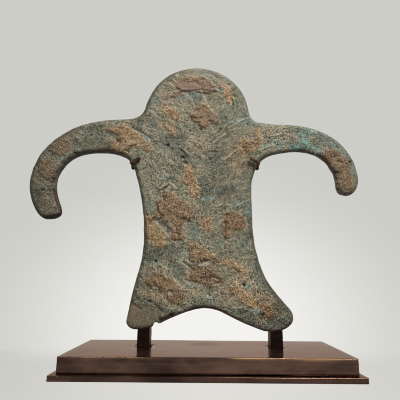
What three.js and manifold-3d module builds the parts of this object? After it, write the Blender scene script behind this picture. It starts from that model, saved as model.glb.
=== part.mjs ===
// A flat copper figure with a round head, hooked arms and spread legs, held upright on a dark bronze stand.
// Millimetres, +Z up, seen from -Y. The origin is the middle of the stand's underside.
import * as THREE from "three";
import { mergeVertices } from "three/addons/utils/BufferGeometryUtils.js";
import Module from "manifold-3d";

const wasm = await Module();
wasm.setup();

// Stand: a thin plate, a thicker block on it, and an upright behind each leg.
const BLOCK_WIDTH = 247;
const BLOCK_DEPTH = 104;
const BLOCK_HEIGHT = 13.6;
const PLATE_STEP = 5.2;
const PLATE_HEIGHT = 4.4;
const STAND_CORNER = 2;
const STAND_EDGE = 0.7;
const STAND_TOP = PLATE_HEIGHT + BLOCK_HEIGHT;

// Uprights: a post let into the block, a rod bent to the edge of the body, and a strap hook at its end.
const POST_WIDTH = 11.8;
const POST_DEPTH = 17;
const POST_EDGE = 0.5;
const POST_RISE = 32;
const SOCKET_DEPTH = 5;
const SOCKET_GAP = 0.3;
const ROD_RADIUS = 3;
const HOOK_WIDTH = 3.4;
const HOOK_THICKNESS = 2.2;
const HOOK_LIP = 10.5;
const HOOK_GAP = 0.6;
const HOOK_EDGE = 0.5;

// Figure: a plate of even thickness with its edges worn round.
const FIGURE_AXIS = -10.4;
const SOLE_LEVEL = 34.4;
const THICKNESS = 10;
const EDGE_DEPTH = 3.4;
const EDGE_WIDTH = 3;
const FIGURE_BACK = -0.6;
const FIGURE_FRONT = FIGURE_BACK - THICKNESS;
const POST_FRONT = 0.3;

// Levels above the sole and reaches from the figure's axis that the outline is drawn from.
const HEAD_LEVEL = 212;
const HEAD_HALF_WIDTH = 54.8;
const HEAD_HALF_HEIGHT = 56;
const HEAD_SHIFT = -0.9;
const NECK_ANGLE = 10;
const LEFT_REACH = 168.3;
const LEFT_WRIST_LEVEL = 141.5;
const LEFT_ARM_WIDTH = 26.3;
const RIGHT_REACH = 161.8;
const RIGHT_WRIST_LEVEL = 147;
const RIGHT_ARM_WIDTH = 21.8;
const LEFT_SHOULDER_LEVEL = 209.7;
const RIGHT_SHOULDER_LEVEL = 204.1;
const LEFT_ARM_UNDERSIDE = 174.2;
const RIGHT_ARM_UNDERSIDE = 176.2;
const LEFT_WAIST = 51;
const RIGHT_WAIST = 54.8;
const CROTCH_LEVEL = 20.5;
const NOTCH_RADIUS = 3;
const NOTCH_PLACE = [-37.2, 5];

// The edge is followed anticlockwise from the left of the neck. Each station is a place, u across and v up,
// and the heading of the edge there in degrees, with 0 to the right and 90 up.
const LEFT_ARM = [
  [-61, LEFT_SHOULDER_LEVEL + 3.1, 212],
  [-80, LEFT_SHOULDER_LEVEL, 184],
  [-110, LEFT_SHOULDER_LEVEL - 3.6, 194],
  [-146.7, LEFT_SHOULDER_LEVEL - 22.9, 222],
  [-LEFT_REACH, LEFT_WRIST_LEVEL, 270],
  [-LEFT_REACH + 6.8, LEFT_WRIST_LEVEL - 25, 300],
  [-LEFT_REACH + 21.3, LEFT_WRIST_LEVEL - 36.8, 0],
  [-LEFT_REACH + 31.2, LEFT_WRIST_LEVEL - 34.5, 31],
  [-LEFT_REACH + 34.1, LEFT_WRIST_LEVEL - 29.5, 92],
  [-LEFT_REACH + 28.9, LEFT_WRIST_LEVEL - 14.9, 108],
  [-LEFT_REACH + LEFT_ARM_WIDTH, LEFT_WRIST_LEVEL, 90],
  [-130.9, LEFT_ARM_UNDERSIDE - 9.6, 43],
  [-98, LEFT_ARM_UNDERSIDE, 0],
  [-73, LEFT_ARM_UNDERSIDE - 5.2, -27],
];
const LEFT_SIDE = [
  [-LEFT_WAIST - 11.6, 154.6, -66],
  [-LEFT_WAIST - 4.2, 125, -79],
  [-LEFT_WAIST, 82, -90],
  [-LEFT_WAIST - 6, 47.5, -105],
  [-LEFT_WAIST - 13.9, 9, -98],
];
const FEET = [
  [-56, 1.2, 0],
  [-40.2, 3.8, 20],
  [-33.7, 6.3, 22],
  [-14, CROTCH_LEVEL - 5.3, 19],
  [8, CROTCH_LEVEL, 0],
  [36.3, CROTCH_LEVEL - 9.4, -24.5],
  [58.5, 2, -17],
  [69, 0, 0],
  [87, 4.6, 38],
];
const RIGHT_SIDE = [
  [RIGHT_WAIST + 36.5, 11.5, 90],
  [RIGHT_WAIST + 27.8, 26.1, 129],
  [RIGHT_WAIST + 15.8, 40.8, 125],
  [RIGHT_WAIST + 5.8, 63.2, 108],
  [RIGHT_WAIST, 108, 90],
  [RIGHT_WAIST + 4.1, 155, 68],
];
const RIGHT_ARM = [
  [67.5, RIGHT_ARM_UNDERSIDE - 8.8, 40],
  [84.2, RIGHT_ARM_UNDERSIDE - 1.6, 9],
  [101, RIGHT_ARM_UNDERSIDE, 0],
  [130.7, RIGHT_ARM_UNDERSIDE - 10.6, -47],
  [RIGHT_REACH - RIGHT_ARM_WIDTH, RIGHT_WRIST_LEVEL - 4.5, -90],
  [RIGHT_REACH - 19.6, RIGHT_WRIST_LEVEL - 14.2, -48],
  [RIGHT_REACH - 12.8, RIGHT_WRIST_LEVEL - 17, 0],
  [RIGHT_REACH, RIGHT_WRIST_LEVEL, 90],
  [RIGHT_REACH - 13, RIGHT_WRIST_LEVEL + 33.8, 128],
  [120, RIGHT_SHOULDER_LEVEL - 4.4, 160],
  [95, RIGHT_SHOULDER_LEVEL, 180],
  [66, RIGHT_SHOULDER_LEVEL + 2, 172],
  [58, RIGHT_SHOULDER_LEVEL + 4.6, 136],
];

// Uprights: where each post stands, the places its rod passes behind the body in u and v, and where the hook
// meets the edge under the arm, with the direction in which the edge faces there.
const UPRIGHTS = {
  left_upright: {
    postX: -60.2,
    rod: [[-47, 22], [-45, 48], [-42, 85], [-44, 120], [-50, 150]],
    hook: [-65.3, 160.5],
    facing: -141,
  },
  right_upright: {
    postX: 66.4,
    rod: [[72, 22], [60, 46], [48, 80], [44, 115], [47, 148]],
    hook: [61.3, 160.4],
    facing: -40,
  },
};

const COPPER = new THREE.MeshStandardMaterial({ color: 0x6e6a56, roughness: 0.85, metalness: 0.15 });
const BRONZE = new THREE.MeshStandardMaterial({ color: 0x4a3a33, roughness: 0.38, metalness: 0.7 });
const DARK_BRONZE = new THREE.MeshStandardMaterial({ color: 0x1f1715, roughness: 0.42, metalness: 0.6 });

// How finely round forms are faceted: degrees of turn along the outline, and counts for the rest.
const TURN_STEP = 7;
const EDGE_STEPS = 4;
const CORNER_STEPS = 3;
const SLAB_EDGE_STEPS = 2;
const ROUND_SIDES = 10;
const ROD_STEPS = 24;
const MERGE_DISTANCE = 1e-3;

const radians = (degrees) => (degrees * Math.PI) / 180;

// A closed geometry as a solid that can be joined and cut, and back again.
function solidOf(geometry) {
  const bare = geometry.clone();
  bare.deleteAttribute("normal");
  bare.deleteAttribute("uv");
  const merged = mergeVertices(bare, MERGE_DISTANCE);
  return new wasm.Manifold(
    new wasm.Mesh({
      numProp: 3,
      vertProperties: merged.attributes.position.array,
      triVerts: new Uint32Array(merged.index.array),
    }),
  );
}

function geometryOf(solid) {
  const mesh = solid.getMesh();
  const geometry = new THREE.BufferGeometry();
  geometry.setAttribute("position", new THREE.BufferAttribute(mesh.vertProperties, 3));
  geometry.setIndex(new THREE.BufferAttribute(mesh.triVerts, 1));
  geometry.computeVertexNormals();
  return geometry;
}

function named(name, geometry, material) {
  const mesh = new THREE.Mesh(geometry, material.clone());
  mesh.name = name;
  return mesh;
}

// The turn from one heading to another, between half a turn clockwise and half a turn anticlockwise.
function turnBetween(heading0, heading1) {
  const change = radians(heading1 - heading0);
  return Math.atan2(Math.sin(change), Math.cos(change));
}

// Points along a curve, so many that each facet turns by no more than the step; the last is left to the next.
function facets(curve, turn) {
  const count = Math.max(2, Math.ceil(Math.abs(turn) / radians(TURN_STEP)));
  return curve.getPoints(count).slice(0, count);
}

// The curve from one station to the next: its handles have the length that makes an even bend an arc.
function edgeBetween([u0, v0, heading0], [u1, v1, heading1]) {
  const turn = turnBetween(heading0, heading1);
  const handle = Math.hypot(u1 - u0, v1 - v0) / (3 * Math.cos(turn / 4) ** 2);
  const along = (u, v, heading, length) =>
    new THREE.Vector2(u + length * Math.cos(radians(heading)), v + length * Math.sin(radians(heading)));
  const curve = new THREE.CubicBezierCurve(
    new THREE.Vector2(u0, v0),
    along(u0, v0, heading0, handle),
    along(u1, v1, heading1, -handle),
    new THREE.Vector2(u1, v1),
  );
  return facets(curve, turn);
}

// The end of the head's arc as a station, at an angle round its ellipse.
function headStation(angle) {
  const cos = Math.cos(radians(angle));
  const sin = Math.sin(radians(angle));
  const heading = Math.atan2(HEAD_HALF_HEIGHT * cos, -HEAD_HALF_WIDTH * sin);
  return [
    HEAD_SHIFT + HEAD_HALF_WIDTH * cos,
    HEAD_LEVEL + HEAD_HALF_HEIGHT * sin,
    (heading * 180) / Math.PI,
  ];
}

function figureOutline() {
  const right = headStation(NECK_ANGLE);
  const left = headStation(180 - NECK_ANGLE);
  const stations = [left, ...LEFT_ARM, ...LEFT_SIDE, ...FEET, ...RIGHT_SIDE, ...RIGHT_ARM, right];
  const head = new THREE.EllipseCurve(
    HEAD_SHIFT,
    HEAD_LEVEL,
    HEAD_HALF_WIDTH,
    HEAD_HALF_HEIGHT,
    radians(NECK_ANGLE),
    radians(180 - NECK_ANGLE),
  );
  const points = facets(head, radians(180 - 2 * NECK_ANGLE));
  for (let i = 1; i < stations.length; i++) points.push(...edgeBetween(stations[i - 1], stations[i]));
  return new THREE.Shape(points);
}

// Drawn flat in u and v, the figure is stood up so that its front faces -Y.
function standUp(geometry) {
  geometry.rotateX(Math.PI / 2);
  geometry.translate(FIGURE_AXIS, FIGURE_BACK, SOLE_LEVEL);
  return geometry;
}

function figureGeometry() {
  const plate = new THREE.ExtrudeGeometry(figureOutline(), {
    depth: THICKNESS - 2 * EDGE_DEPTH,
    bevelThickness: EDGE_DEPTH,
    bevelSize: EDGE_WIDTH,
    bevelOffset: -EDGE_WIDTH,
    bevelSegments: EDGE_STEPS,
  });
  plate.translate(0, 0, EDGE_DEPTH);
  const notch = new THREE.CylinderGeometry(NOTCH_RADIUS, NOTCH_RADIUS, 2 * THICKNESS, ROUND_SIDES);
  notch.rotateX(Math.PI / 2);
  notch.translate(...NOTCH_PLACE, THICKNESS / 2);
  return standUp(geometryOf(solidOf(plate).subtract(solidOf(notch))));
}

// A slab with rounded corners and eased edges, standing on the level given.
function slab(width, depth, height, corner, edge, level) {
  const x = width / 2;
  const y = depth / 2;
  const outline = new THREE.Shape();
  outline.absarc(x - corner, y - corner, corner, 0, Math.PI / 2);
  outline.absarc(corner - x, y - corner, corner, Math.PI / 2, Math.PI);
  outline.absarc(corner - x, corner - y, corner, Math.PI, 1.5 * Math.PI);
  outline.absarc(x - corner, corner - y, corner, 1.5 * Math.PI, 2 * Math.PI);
  const geometry = new THREE.ExtrudeGeometry(outline, {
    depth: height - 2 * edge,
    curveSegments: CORNER_STEPS,
    bevelThickness: edge,
    bevelSize: edge,
    bevelOffset: -edge,
    bevelSegments: SLAB_EDGE_STEPS,
  });
  geometry.translate(0, 0, level + edge);
  return geometry;
}

function blockGeometry() {
  let block = solidOf(
    slab(BLOCK_WIDTH, BLOCK_DEPTH, BLOCK_HEIGHT, STAND_CORNER, STAND_EDGE, PLATE_HEIGHT),
  );
  for (const { postX } of Object.values(UPRIGHTS)) {
    const socket = new THREE.BoxGeometry(
      POST_WIDTH + 2 * SOCKET_GAP,
      POST_DEPTH + 2 * SOCKET_GAP,
      2 * SOCKET_DEPTH,
    );
    socket.translate(postX, POST_FRONT + POST_DEPTH / 2, STAND_TOP);
    block = block.subtract(solidOf(socket));
  }
  return geometryOf(block);
}

// The hook's strap in the plane of the edge's outward direction and the plate's thickness: out behind the
// figure, forward under the arm, and back over the front.
function hookProfile() {
  const inner = HOOK_GAP;
  const outer = HOOK_GAP + HOOK_THICKNESS;
  const back = POST_FRONT;
  const front = FIGURE_FRONT - HOOK_GAP;
  const bend = HOOK_THICKNESS;
  const profile = new THREE.Shape();
  profile.moveTo(-HOOK_LIP, back);
  profile.lineTo(inner, back);
  profile.lineTo(inner, front);
  profile.lineTo(-HOOK_LIP, front);
  profile.lineTo(-HOOK_LIP, front - HOOK_THICKNESS);
  profile.lineTo(outer - bend, front - HOOK_THICKNESS);
  profile.absarc(outer - bend, front - HOOK_THICKNESS + bend, bend, -Math.PI / 2, 0);
  profile.lineTo(outer, back + HOOK_THICKNESS - bend);
  profile.absarc(outer - bend, back + HOOK_THICKNESS - bend, bend, 0, Math.PI / 2);
  profile.lineTo(-HOOK_LIP, back + HOOK_THICKNESS);
  return profile;
}

function hookGeometry([u, v], facing) {
  const strap = new THREE.ExtrudeGeometry(hookProfile(), {
    depth: HOOK_WIDTH - 2 * HOOK_EDGE,
    curveSegments: EDGE_STEPS,
    bevelThickness: HOOK_EDGE,
    bevelSize: HOOK_EDGE,
    bevelOffset: -HOOK_EDGE,
    bevelSegments: 1,
  });
  strap.translate(0, 0, HOOK_EDGE - HOOK_WIDTH / 2);
  strap.rotateY(-radians(facing));
  strap.translate(FIGURE_AXIS + u, 0, SOLE_LEVEL + v);
  return strap;
}

// The rod rises out of the post's top and ends on the strap behind the figure.
function rodGeometry(postX, places, [hookU, hookV], facing) {
  const behind = (u, v) => new THREE.Vector3(FIGURE_AXIS + u, POST_FRONT + ROD_RADIUS, SOLE_LEVEL + v);
  const foot = new THREE.Vector3(postX, POST_FRONT + POST_DEPTH / 2, STAND_TOP + POST_RISE - POST_WIDTH);
  const points = places.map(([u, v]) => behind(u, v));
  const reach = HOOK_LIP - ROD_RADIUS;
  const end = behind(hookU - reach * Math.cos(radians(facing)), hookV - reach * Math.sin(radians(facing)));
  const section = new THREE.Shape();
  section.absarc(0, 0, ROD_RADIUS, 0, 2 * Math.PI);
  return new THREE.ExtrudeGeometry(section, {
    steps: ROD_STEPS,
    curveSegments: ROUND_SIDES / 2,
    extrudePath: new THREE.CatmullRomCurve3([foot, ...points, end]),
  });
}

function uprightGeometry({ postX, rod, hook, facing }) {
  const postLength = POST_RISE + SOCKET_DEPTH;
  const post = slab(POST_WIDTH, POST_DEPTH, postLength, 2 * POST_EDGE, POST_EDGE, STAND_TOP - SOCKET_DEPTH);
  post.translate(postX, POST_FRONT + POST_DEPTH / 2, 0);
  const solid = solidOf(post)
    .add(solidOf(rodGeometry(postX, rod, hook, facing)))
    .add(solidOf(hookGeometry(hook, facing)));
  return geometryOf(solid);
}

const stand = new THREE.Group();
const plateWidth = BLOCK_WIDTH + 2 * PLATE_STEP;
const plateDepth = BLOCK_DEPTH + 2 * PLATE_STEP;
stand.add(
  named("base_plate", slab(plateWidth, plateDepth, PLATE_HEIGHT, STAND_CORNER, STAND_EDGE, 0), BRONZE),
);
stand.add(named("base_block", blockGeometry(), BRONZE));
for (const [name, upright] of Object.entries(UPRIGHTS)) {
  stand.add(named(name, uprightGeometry(upright), DARK_BRONZE));
}

const part = new THREE.Group();
part.add(stand);
part.add(named("figure", figureGeometry(), COPPER));

export default part;
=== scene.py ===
import math

import bmesh
import bpy
import numpy as np
from mathutils import Euler, Matrix, Vector
from mathutils.kdtree import KDTree


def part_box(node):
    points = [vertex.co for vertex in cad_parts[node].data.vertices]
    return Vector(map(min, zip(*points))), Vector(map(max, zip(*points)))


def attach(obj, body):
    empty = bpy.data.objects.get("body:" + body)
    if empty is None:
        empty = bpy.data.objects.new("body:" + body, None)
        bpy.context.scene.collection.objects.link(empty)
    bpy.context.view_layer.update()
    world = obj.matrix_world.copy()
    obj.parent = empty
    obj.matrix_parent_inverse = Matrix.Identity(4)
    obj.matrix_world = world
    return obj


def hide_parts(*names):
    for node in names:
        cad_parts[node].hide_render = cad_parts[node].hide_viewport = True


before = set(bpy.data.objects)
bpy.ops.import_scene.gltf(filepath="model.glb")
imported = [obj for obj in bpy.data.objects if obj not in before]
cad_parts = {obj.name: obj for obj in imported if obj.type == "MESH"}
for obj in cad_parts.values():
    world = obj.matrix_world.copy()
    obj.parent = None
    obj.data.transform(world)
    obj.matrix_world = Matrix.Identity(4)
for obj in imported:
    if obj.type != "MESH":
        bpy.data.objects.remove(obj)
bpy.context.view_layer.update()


# Base plate. The thin lowest slab of the stand, sawn from bronze plate and patinated dark
# brown. It lies flat on the table under the block, which it outreaches on every side, and
# handling has rubbed its upper front edge back to golden metal.

MM = 0.001


def tone(red, green, blue):
    """A colour given as it looks on a screen, 0 to 255, as the shader's own linear colour."""
    shares = [c / 255 for c in (red, green, blue)]
    return [s / 12.92 if s <= 0.04045 else ((s + 0.055) / 1.055) ** 2.4 for s in shares] + [1]


class Tint:
    """A socket in a finish. Sums on it add Math nodes, and node() adds any other node."""

    def __init__(self, tree, socket=None):
        self.tree, self.socket = tree, socket

    def node(self, kind, settings, sockets, out=0):
        made = self.tree.nodes.new(kind)
        for name, value in settings.items():
            if name == "stops":
                for _ in value[2:]:
                    made.color_ramp.elements.new(0.5)
                for stop, (at, colour) in zip(made.color_ramp.elements, value):
                    stop.position, stop.color = at, colour
            else:
                setattr(made, name, value)
        for name, value in sockets.items():
            if isinstance(value, Tint):
                self.tree.links.new(value.socket, made.inputs[name])
            else:
                made.inputs[name].default_value = value
        return Tint(self.tree, made.outputs[out] if made.outputs else None)

    def maths(self, operation, first, second):
        return self.node("ShaderNodeMath", {"operation": operation}, {0: first, 1: second})

    def __add__(self, other):
        return self.maths("ADD", self, other)

    def __sub__(self, other):
        return self.maths("SUBTRACT", self, other)

    def __rsub__(self, other):
        return self.maths("SUBTRACT", other, self)

    def __mul__(self, other):
        return self.maths("MULTIPLY", self, other)

    __radd__, __rmul__ = __add__, __mul__

    def fade(self, start, end):
        """0 at start and 1 at end, with a soft rise between them."""
        ends = {"Value": self, "From Min": start, "From Max": end}
        return self.node("ShaderNodeMapRange", {"interpolation_type": "SMOOTHSTEP"}, ends)

    def blend(self, under, over):
        """One colour where this is 0 and the other where it is 1."""
        return self.node("ShaderNodeMix", {"data_type": "RGBA"}, {0: self, 6: under, 7: over}, 2)

    def shades(self, *colours):
        """A colour from a row of them, the first where this is 0 and the last where it is 1."""
        stops = [(k / (len(colours) - 1), tone(*c)) for k, c in enumerate(colours)]
        return self.node("ShaderNodeValToRGB", {"stops": stops}, {"Fac": self})

    def where(self):
        """The point on the object, in metres."""
        return self.node("ShaderNodeTexCoord", {}, {}, "Object")

    def mask(self, name):
        """A value that the mesh carries at its points."""
        return self.node("ShaderNodeAttribute", {"attribute_name": name}, {}, "Fac")

    def cloud(self, size, detail=3, stretch=(1, 1, 1), turn=0, rough=0.55, seed=0, at=None):
        """Noise with lumps about size metres across, drawn out by stretch and turned about Y."""
        at = at or self.where()
        turned = {"Rotation": (0, turn, 0), "Location": (seed, seed, seed), "Scale": stretch}
        lain = self.node("ShaderNodeMapping", {"vector_type": "TEXTURE"}, {"Vector": at} | turned)
        grains = {"Vector": lain, "Scale": 1 / size, "Detail": detail, "Roughness": rough}
        return self.node("ShaderNodeTexNoise", {}, grains)


def new_finish(name):
    material = bpy.data.materials.new(name)
    material.use_nodes = True
    material.node_tree.nodes.clear()
    return material, Tint(material.node_tree)


def close_finish(tree, sockets):
    shaded = tree.node("ShaderNodeBsdfPrincipled", {}, sockets)
    tree.node("ShaderNodeOutputMaterial", {}, {"Surface": shaded})


def bumped(tree, height, depth):
    return tree.node("ShaderNodeBump", {}, {"Height": height, "Distance": depth})


def grain(points, size, seed):
    """Smooth noise from -1 to 1 at each point, with lumps about size metres across."""
    cell = np.floor(points / size).astype(np.int64)
    ease = points / size - cell
    ease = ease * ease * (3 - 2 * ease)
    total = np.zeros(len(points))
    for corner in np.ndindex(2, 2, 2):
        key = (cell + corner) @ np.array([73856093, 19349663, 83492791]) + seed * 2654435761
        key = (key ^ (key >> 15)) * 2246822519
        key = (key ^ (key >> 13)) * 3266489917
        value = ((key ^ (key >> 16)) & 0xFFFF) / 0x7FFF - 1
        total += value * np.prod(np.where(corner, ease, 1 - ease), axis=1)
    return total


def soft_step(value, start, end):
    rise = np.clip((value - start) / (end - start), 0, 1)
    return rise * rise * (3 - 2 * rise)


def slab(low, high, corner, ease, cell, pockets=()):
    """A closed slab with round corners and eased rims, cut into cells, with square pockets."""

    def rises(edge):
        return abs(edge.verts[0].co.z - edge.verts[1].co.z) >= ease

    bm = bmesh.new()
    bmesh.ops.create_cube(bm, size=1)
    for vert in bm.verts:
        vert.co = [lo + (c + 0.5) * (hi - lo) for lo, c, hi in zip(low, vert.co, high)]
    rounding = {"offset_type": "OFFSET", "profile": 0.5, "affect": "EDGES", "clamp_overlap": True}
    uprights = [e for e in bm.edges if rises(e)]
    bmesh.ops.bevel(bm, geom=uprights, offset=corner, segments=6, **rounding)
    rims = [e for e in bm.edges if not rises(e)]
    bmesh.ops.bevel(bm, geom=rims, offset=ease, segments=4, **rounding)
    for axis in range(3):
        borders = [end[axis] for pocket in pockets for end in pocket if axis < 2]
        count = round((high[axis] - low[axis]) / cell)
        evenly = [low[axis] + (high[axis] - low[axis]) * k / count for k in range(1, count)]
        evenly = [e for e in evenly if all(abs(e - b) > cell / 4 for b in borders)]
        for place in evenly + borders:
            across = [float(k == axis) for k in range(3)]
            shape = [*bm.verts, *bm.edges, *bm.faces]
            point = [a * place for a in across]
            bmesh.ops.bisect_plane(bm, geom=shape, dist=1e-7, plane_co=point, plane_no=across)
    for near, far in pockets:
        bm.normal_update()
        mouth = []
        for face in bm.faces:
            middle = face.calc_center_median()
            if face.normal.z > 0.9 and near[0] < middle.x < far[0] and near[1] < middle.y < far[1]:
                mouth.append(face)
        sunk = bmesh.ops.extrude_face_region(bm, geom=mouth)["geom"]
        floor_verts = [g for g in sunk if isinstance(g, bmesh.types.BMVert)]
        bmesh.ops.translate(bm, verts=floor_verts, vec=(0, 0, near[2] - far[2]))
        bmesh.ops.delete(bm, geom=[f for f in mouth if f.is_valid], context="FACES")
    bmesh.ops.recalc_face_normals(bm, faces=bm.faces)
    mesh = bpy.data.meshes.new("slab")
    bm.to_mesh(mesh)
    bm.free()
    return mesh


def points_of(mesh, what="co"):
    flat = np.zeros(len(mesh.vertices) * 3)
    mesh.vertices.foreach_get(what, flat)
    return flat.reshape(-1, 3)


def carry(mesh, name, values):
    """Lets the mesh carry a value at each of its points."""
    mesh.attributes.new(name, "FLOAT", "POINT").data.foreach_set("value", values.astype(np.float32))


def set_points(mesh, points):
    mesh.vertices.foreach_set("co", points.astype(np.float32).ravel())
    mesh.polygons.foreach_set("use_smooth", [True] * len(mesh.polygons))
    mesh.update()


def new_piece(name, mesh, material):
    mesh.name = name
    mesh.materials.clear()
    mesh.materials.append(material)
    made = bpy.data.objects.new(name, mesh)
    bpy.context.scene.collection.objects.link(made)
    return made


DEEP_BROWN = tone(58, 44, 39)
RED_BROWN = tone(110, 85, 74)
SHADE_AND_STAIN_BROWN = tone(30, 22, 19)
RUBBED_GOLD = tone(178, 138, 92)
GRAZING_BROWN = tone(217, 189, 173)


def bronze_finish(name):
    """Dark brown patina over brushed bronze, golden where the mesh says it is rubbed, and darker
    where it carries painted shade and stains.
    """
    material, tree = new_finish(name)
    brushed = tree.cloud(1.6 * MM, 4, (40, 1, 1))
    mottled = tree.cloud(26 * MM, 4, (2.2, 1, 1))
    clouded = tree.cloud(9 * MM, 3, (1.8, 1, 1), seed=2)
    fine = tree.cloud(1.2 * MM, 2)
    rubbed = tree.mask("rubbed") + 0.7 * (brushed - 0.5) + 0.5 * (mottled - 0.5)
    rubbed = 0.45 * rubbed.fade(0.4, 0.95)
    stained = (tree.mask("stained") + 0.3 * (fine - 0.5)).fade(0.2, 0.9)
    brown = (0.7 * mottled + 0.3 * clouded + 0.2 * brushed - 0.09).fade(0.32, 0.68)
    brown = brown.blend(DEEP_BROWN, RED_BROWN)
    brown = (0.75 * stained).blend(brown, SHADE_AND_STAIN_BROWN)
    dull = 0.07 + 0.1 * brushed + 0.08 * mottled.fade(0.4, 0.7) + 0.15 * stained + 0.8 * rubbed
    close_finish(tree, {
        "Base Color": rubbed.blend(brown, RUBBED_GOLD),
        "Metallic": 0.9,
        "Specular Tint": GRAZING_BROWN,
        "Roughness": dull,
        "Normal": bumped(tree, brushed + 0.5 * fine, 0.012 * MM),
    })
    return material


CELL, RIM_EASE = 4.4 * MM, 0.4 * MM
PLATE_CORNER, PLATE_WAVE, PLATE_BULGE = 2 * MM, 0.14 * MM, 0.16 * MM

plate_low, plate_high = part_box("base_plate")
plate_mesh = slab(plate_low, plate_high, PLATE_CORNER, RIM_EASE, CELL)
plate_at = points_of(plate_mesh)
plate_lift = soft_step(plate_at[:, 2], 0.2 * MM, 3.6 * MM)
plate_at[:, 2] += plate_lift * PLATE_WAVE * grain(plate_at, 34 * MM, 3)
plate_at[:, 1] += PLATE_BULGE * grain(plate_at, 45 * MM, 4)
set_points(plate_mesh, plate_at)
plate_rim = 1 - soft_step(plate_high.z - plate_at[:, 2], 0.1 * MM, 0.5 * MM)
behind_front = plate_at[:, 1] - plate_low.y
plate_front = 1 - soft_step(behind_front, 0.4 * MM, 1.4 * MM)
plate_worn = 0.55 + 0.6 * grain(plate_at * [1, 0, 0], 38 * MM, 5)
plate_worn += 0.35 * soft_step(plate_at[:, 0], -40 * MM, 10 * MM)
carry(plate_mesh, "rubbed", 0.7 * plate_rim * plate_front * np.clip(plate_worn, 0, 1))
# Painted shade: the whole front face of the plate is darkened.
carry(plate_mesh, "stained", 0.55 * (1 - soft_step(behind_front, 0.2 * MM, 0.8 * MM)))
plate = new_piece("bronze_base_plate", plate_mesh, bronze_finish("brown_bronze_plate"))
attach(plate, "root")
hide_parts("base_plate")


# Base block. The thick slab of the stand, one piece of bronze with a polished, waxed top.
# It rests on the plate, its lower front edge bowed up a little so that a dark gap shows,
# and two square pockets in its top take the feet of the uprights.

POST_WIDTH, POST_DEPTH, POST_NEAR = 11.8 * MM, 17 * MM, 0.3 * MM
POST_PLACES = (-60.2 * MM, 66.4 * MM)
POCKET_GAP, POCKET_DEPTH = 0.3 * MM, 5 * MM
BLOCK_CORNER, BLOCK_WAVE, BLOCK_BULGE = 2.2 * MM, 0.22 * MM, 0.25 * MM
BOW_HEIGHT, BOW_MIDDLE, BOW_REACH = 1.0 * MM, 42 * MM, 62 * MM

block_low, block_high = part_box("base_block")
pockets = []
for place in POST_PLACES:
    half = POST_WIDTH / 2 + POCKET_GAP
    near = (place - half, POST_NEAR - POCKET_GAP, block_high.z - POCKET_DEPTH)
    far = (place + half, POST_NEAR + POST_DEPTH + POCKET_GAP, block_high.z)
    pockets.append((near, far))
block_mesh = slab(block_low, block_high, BLOCK_CORNER, RIM_EASE, CELL, pockets)
block_at = points_of(block_mesh)
block_rise = (block_at[:, 2] - block_low.z) / (block_high.z - block_low.z)
bow = soft_step(-block_at[:, 1], 0, 50 * MM)
bow *= np.exp(-(((block_at[:, 0] - BOW_MIDDLE) / BOW_REACH) ** 2))
block_at[:, 2] += BOW_HEIGHT * bow * (1 - np.clip(block_rise, 0, 1))
block_at[:, 2] += block_rise * BLOCK_WAVE * grain(block_at * [1, 1, 0], 60 * MM, 7)
block_at[:, 1] += BLOCK_BULGE * grain(block_at, 52 * MM, 8)
set_points(block_mesh, block_at)
block_rim = 1 - soft_step(block_high.z - block_at[:, 2], 0.5 * MM, 1.3 * MM)
front_edge = 1 - soft_step(block_at[:, 1] - block_low.y, 0.4 * MM, 1.0 * MM)
side_edge = 1 - soft_step(block_high.x - np.abs(block_at[:, 0]), 0.5 * MM, 1.2 * MM)
block_worn = 0.35 + 0.5 * grain(block_at * [1, 0, 0], 30 * MM, 9)
block_worn += 0.55 * soft_step(block_at[:, 0], -30 * MM, 30 * MM)
block_worn = np.clip(block_worn, 0, 1) * np.maximum(front_edge, 0.7 * side_edge)
carry(block_mesh, "rubbed", block_rim * block_worn)
# Painted shade round the feet of the posts, where they stand in their pockets, and a darker smudge
# on the top between them.
foot_shade = np.zeros(len(block_at))
for place in POST_PLACES:
    beside = np.abs(block_at[:, 0] - place) - POST_WIDTH / 2
    beyond = np.abs(block_at[:, 1] - POST_NEAR - POST_DEPTH / 2) - POST_DEPTH / 2
    shade_near = 1 - soft_step(np.maximum(beside, beyond), 0.4 * MM, 4 * MM)
    foot_shade = np.maximum(foot_shade, shade_near)
smudge = np.hypot((block_at[:, 0] + 2 * MM) / (24 * MM), (block_at[:, 1] - 22 * MM) / (16 * MM))
smudge = 0.5 * (1 - soft_step(smudge, 0.5, 1.2))
carry(block_mesh, "stained", soft_step(block_rise, 0.9, 1) * np.maximum(foot_shade, smudge))
block = new_piece("bronze_base_block", block_mesh, bronze_finish("brown_bronze_block"))
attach(block, "root")
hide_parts("base_block")


# Uprights. Two square bronze posts patinated almost black, each let into a pocket of the block.
# Behind the figure each carries on as a bent rod to the armpit, where it ends in a flat strap
# hooked round the figure's edge.


def evened(source, voxel, rounds):
    """A copy of a mesh in even small faces, its edges eased by a few rounds of smoothing."""
    holder = bpy.data.objects.new("evened", source.copy())
    bpy.context.scene.collection.objects.link(holder)
    remesh = holder.modifiers.new("even", "REMESH")
    remesh.mode, remesh.voxel_size = "VOXEL", voxel
    ease = holder.modifiers.new("ease", "SMOOTH")
    ease.factor, ease.iterations = 0.5, rounds
    bpy.context.view_layer.update()
    made = holder.evaluated_get(bpy.context.evaluated_depsgraph_get())
    result = bpy.data.meshes.new_from_object(made)
    bpy.data.objects.remove(holder)
    return result


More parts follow.
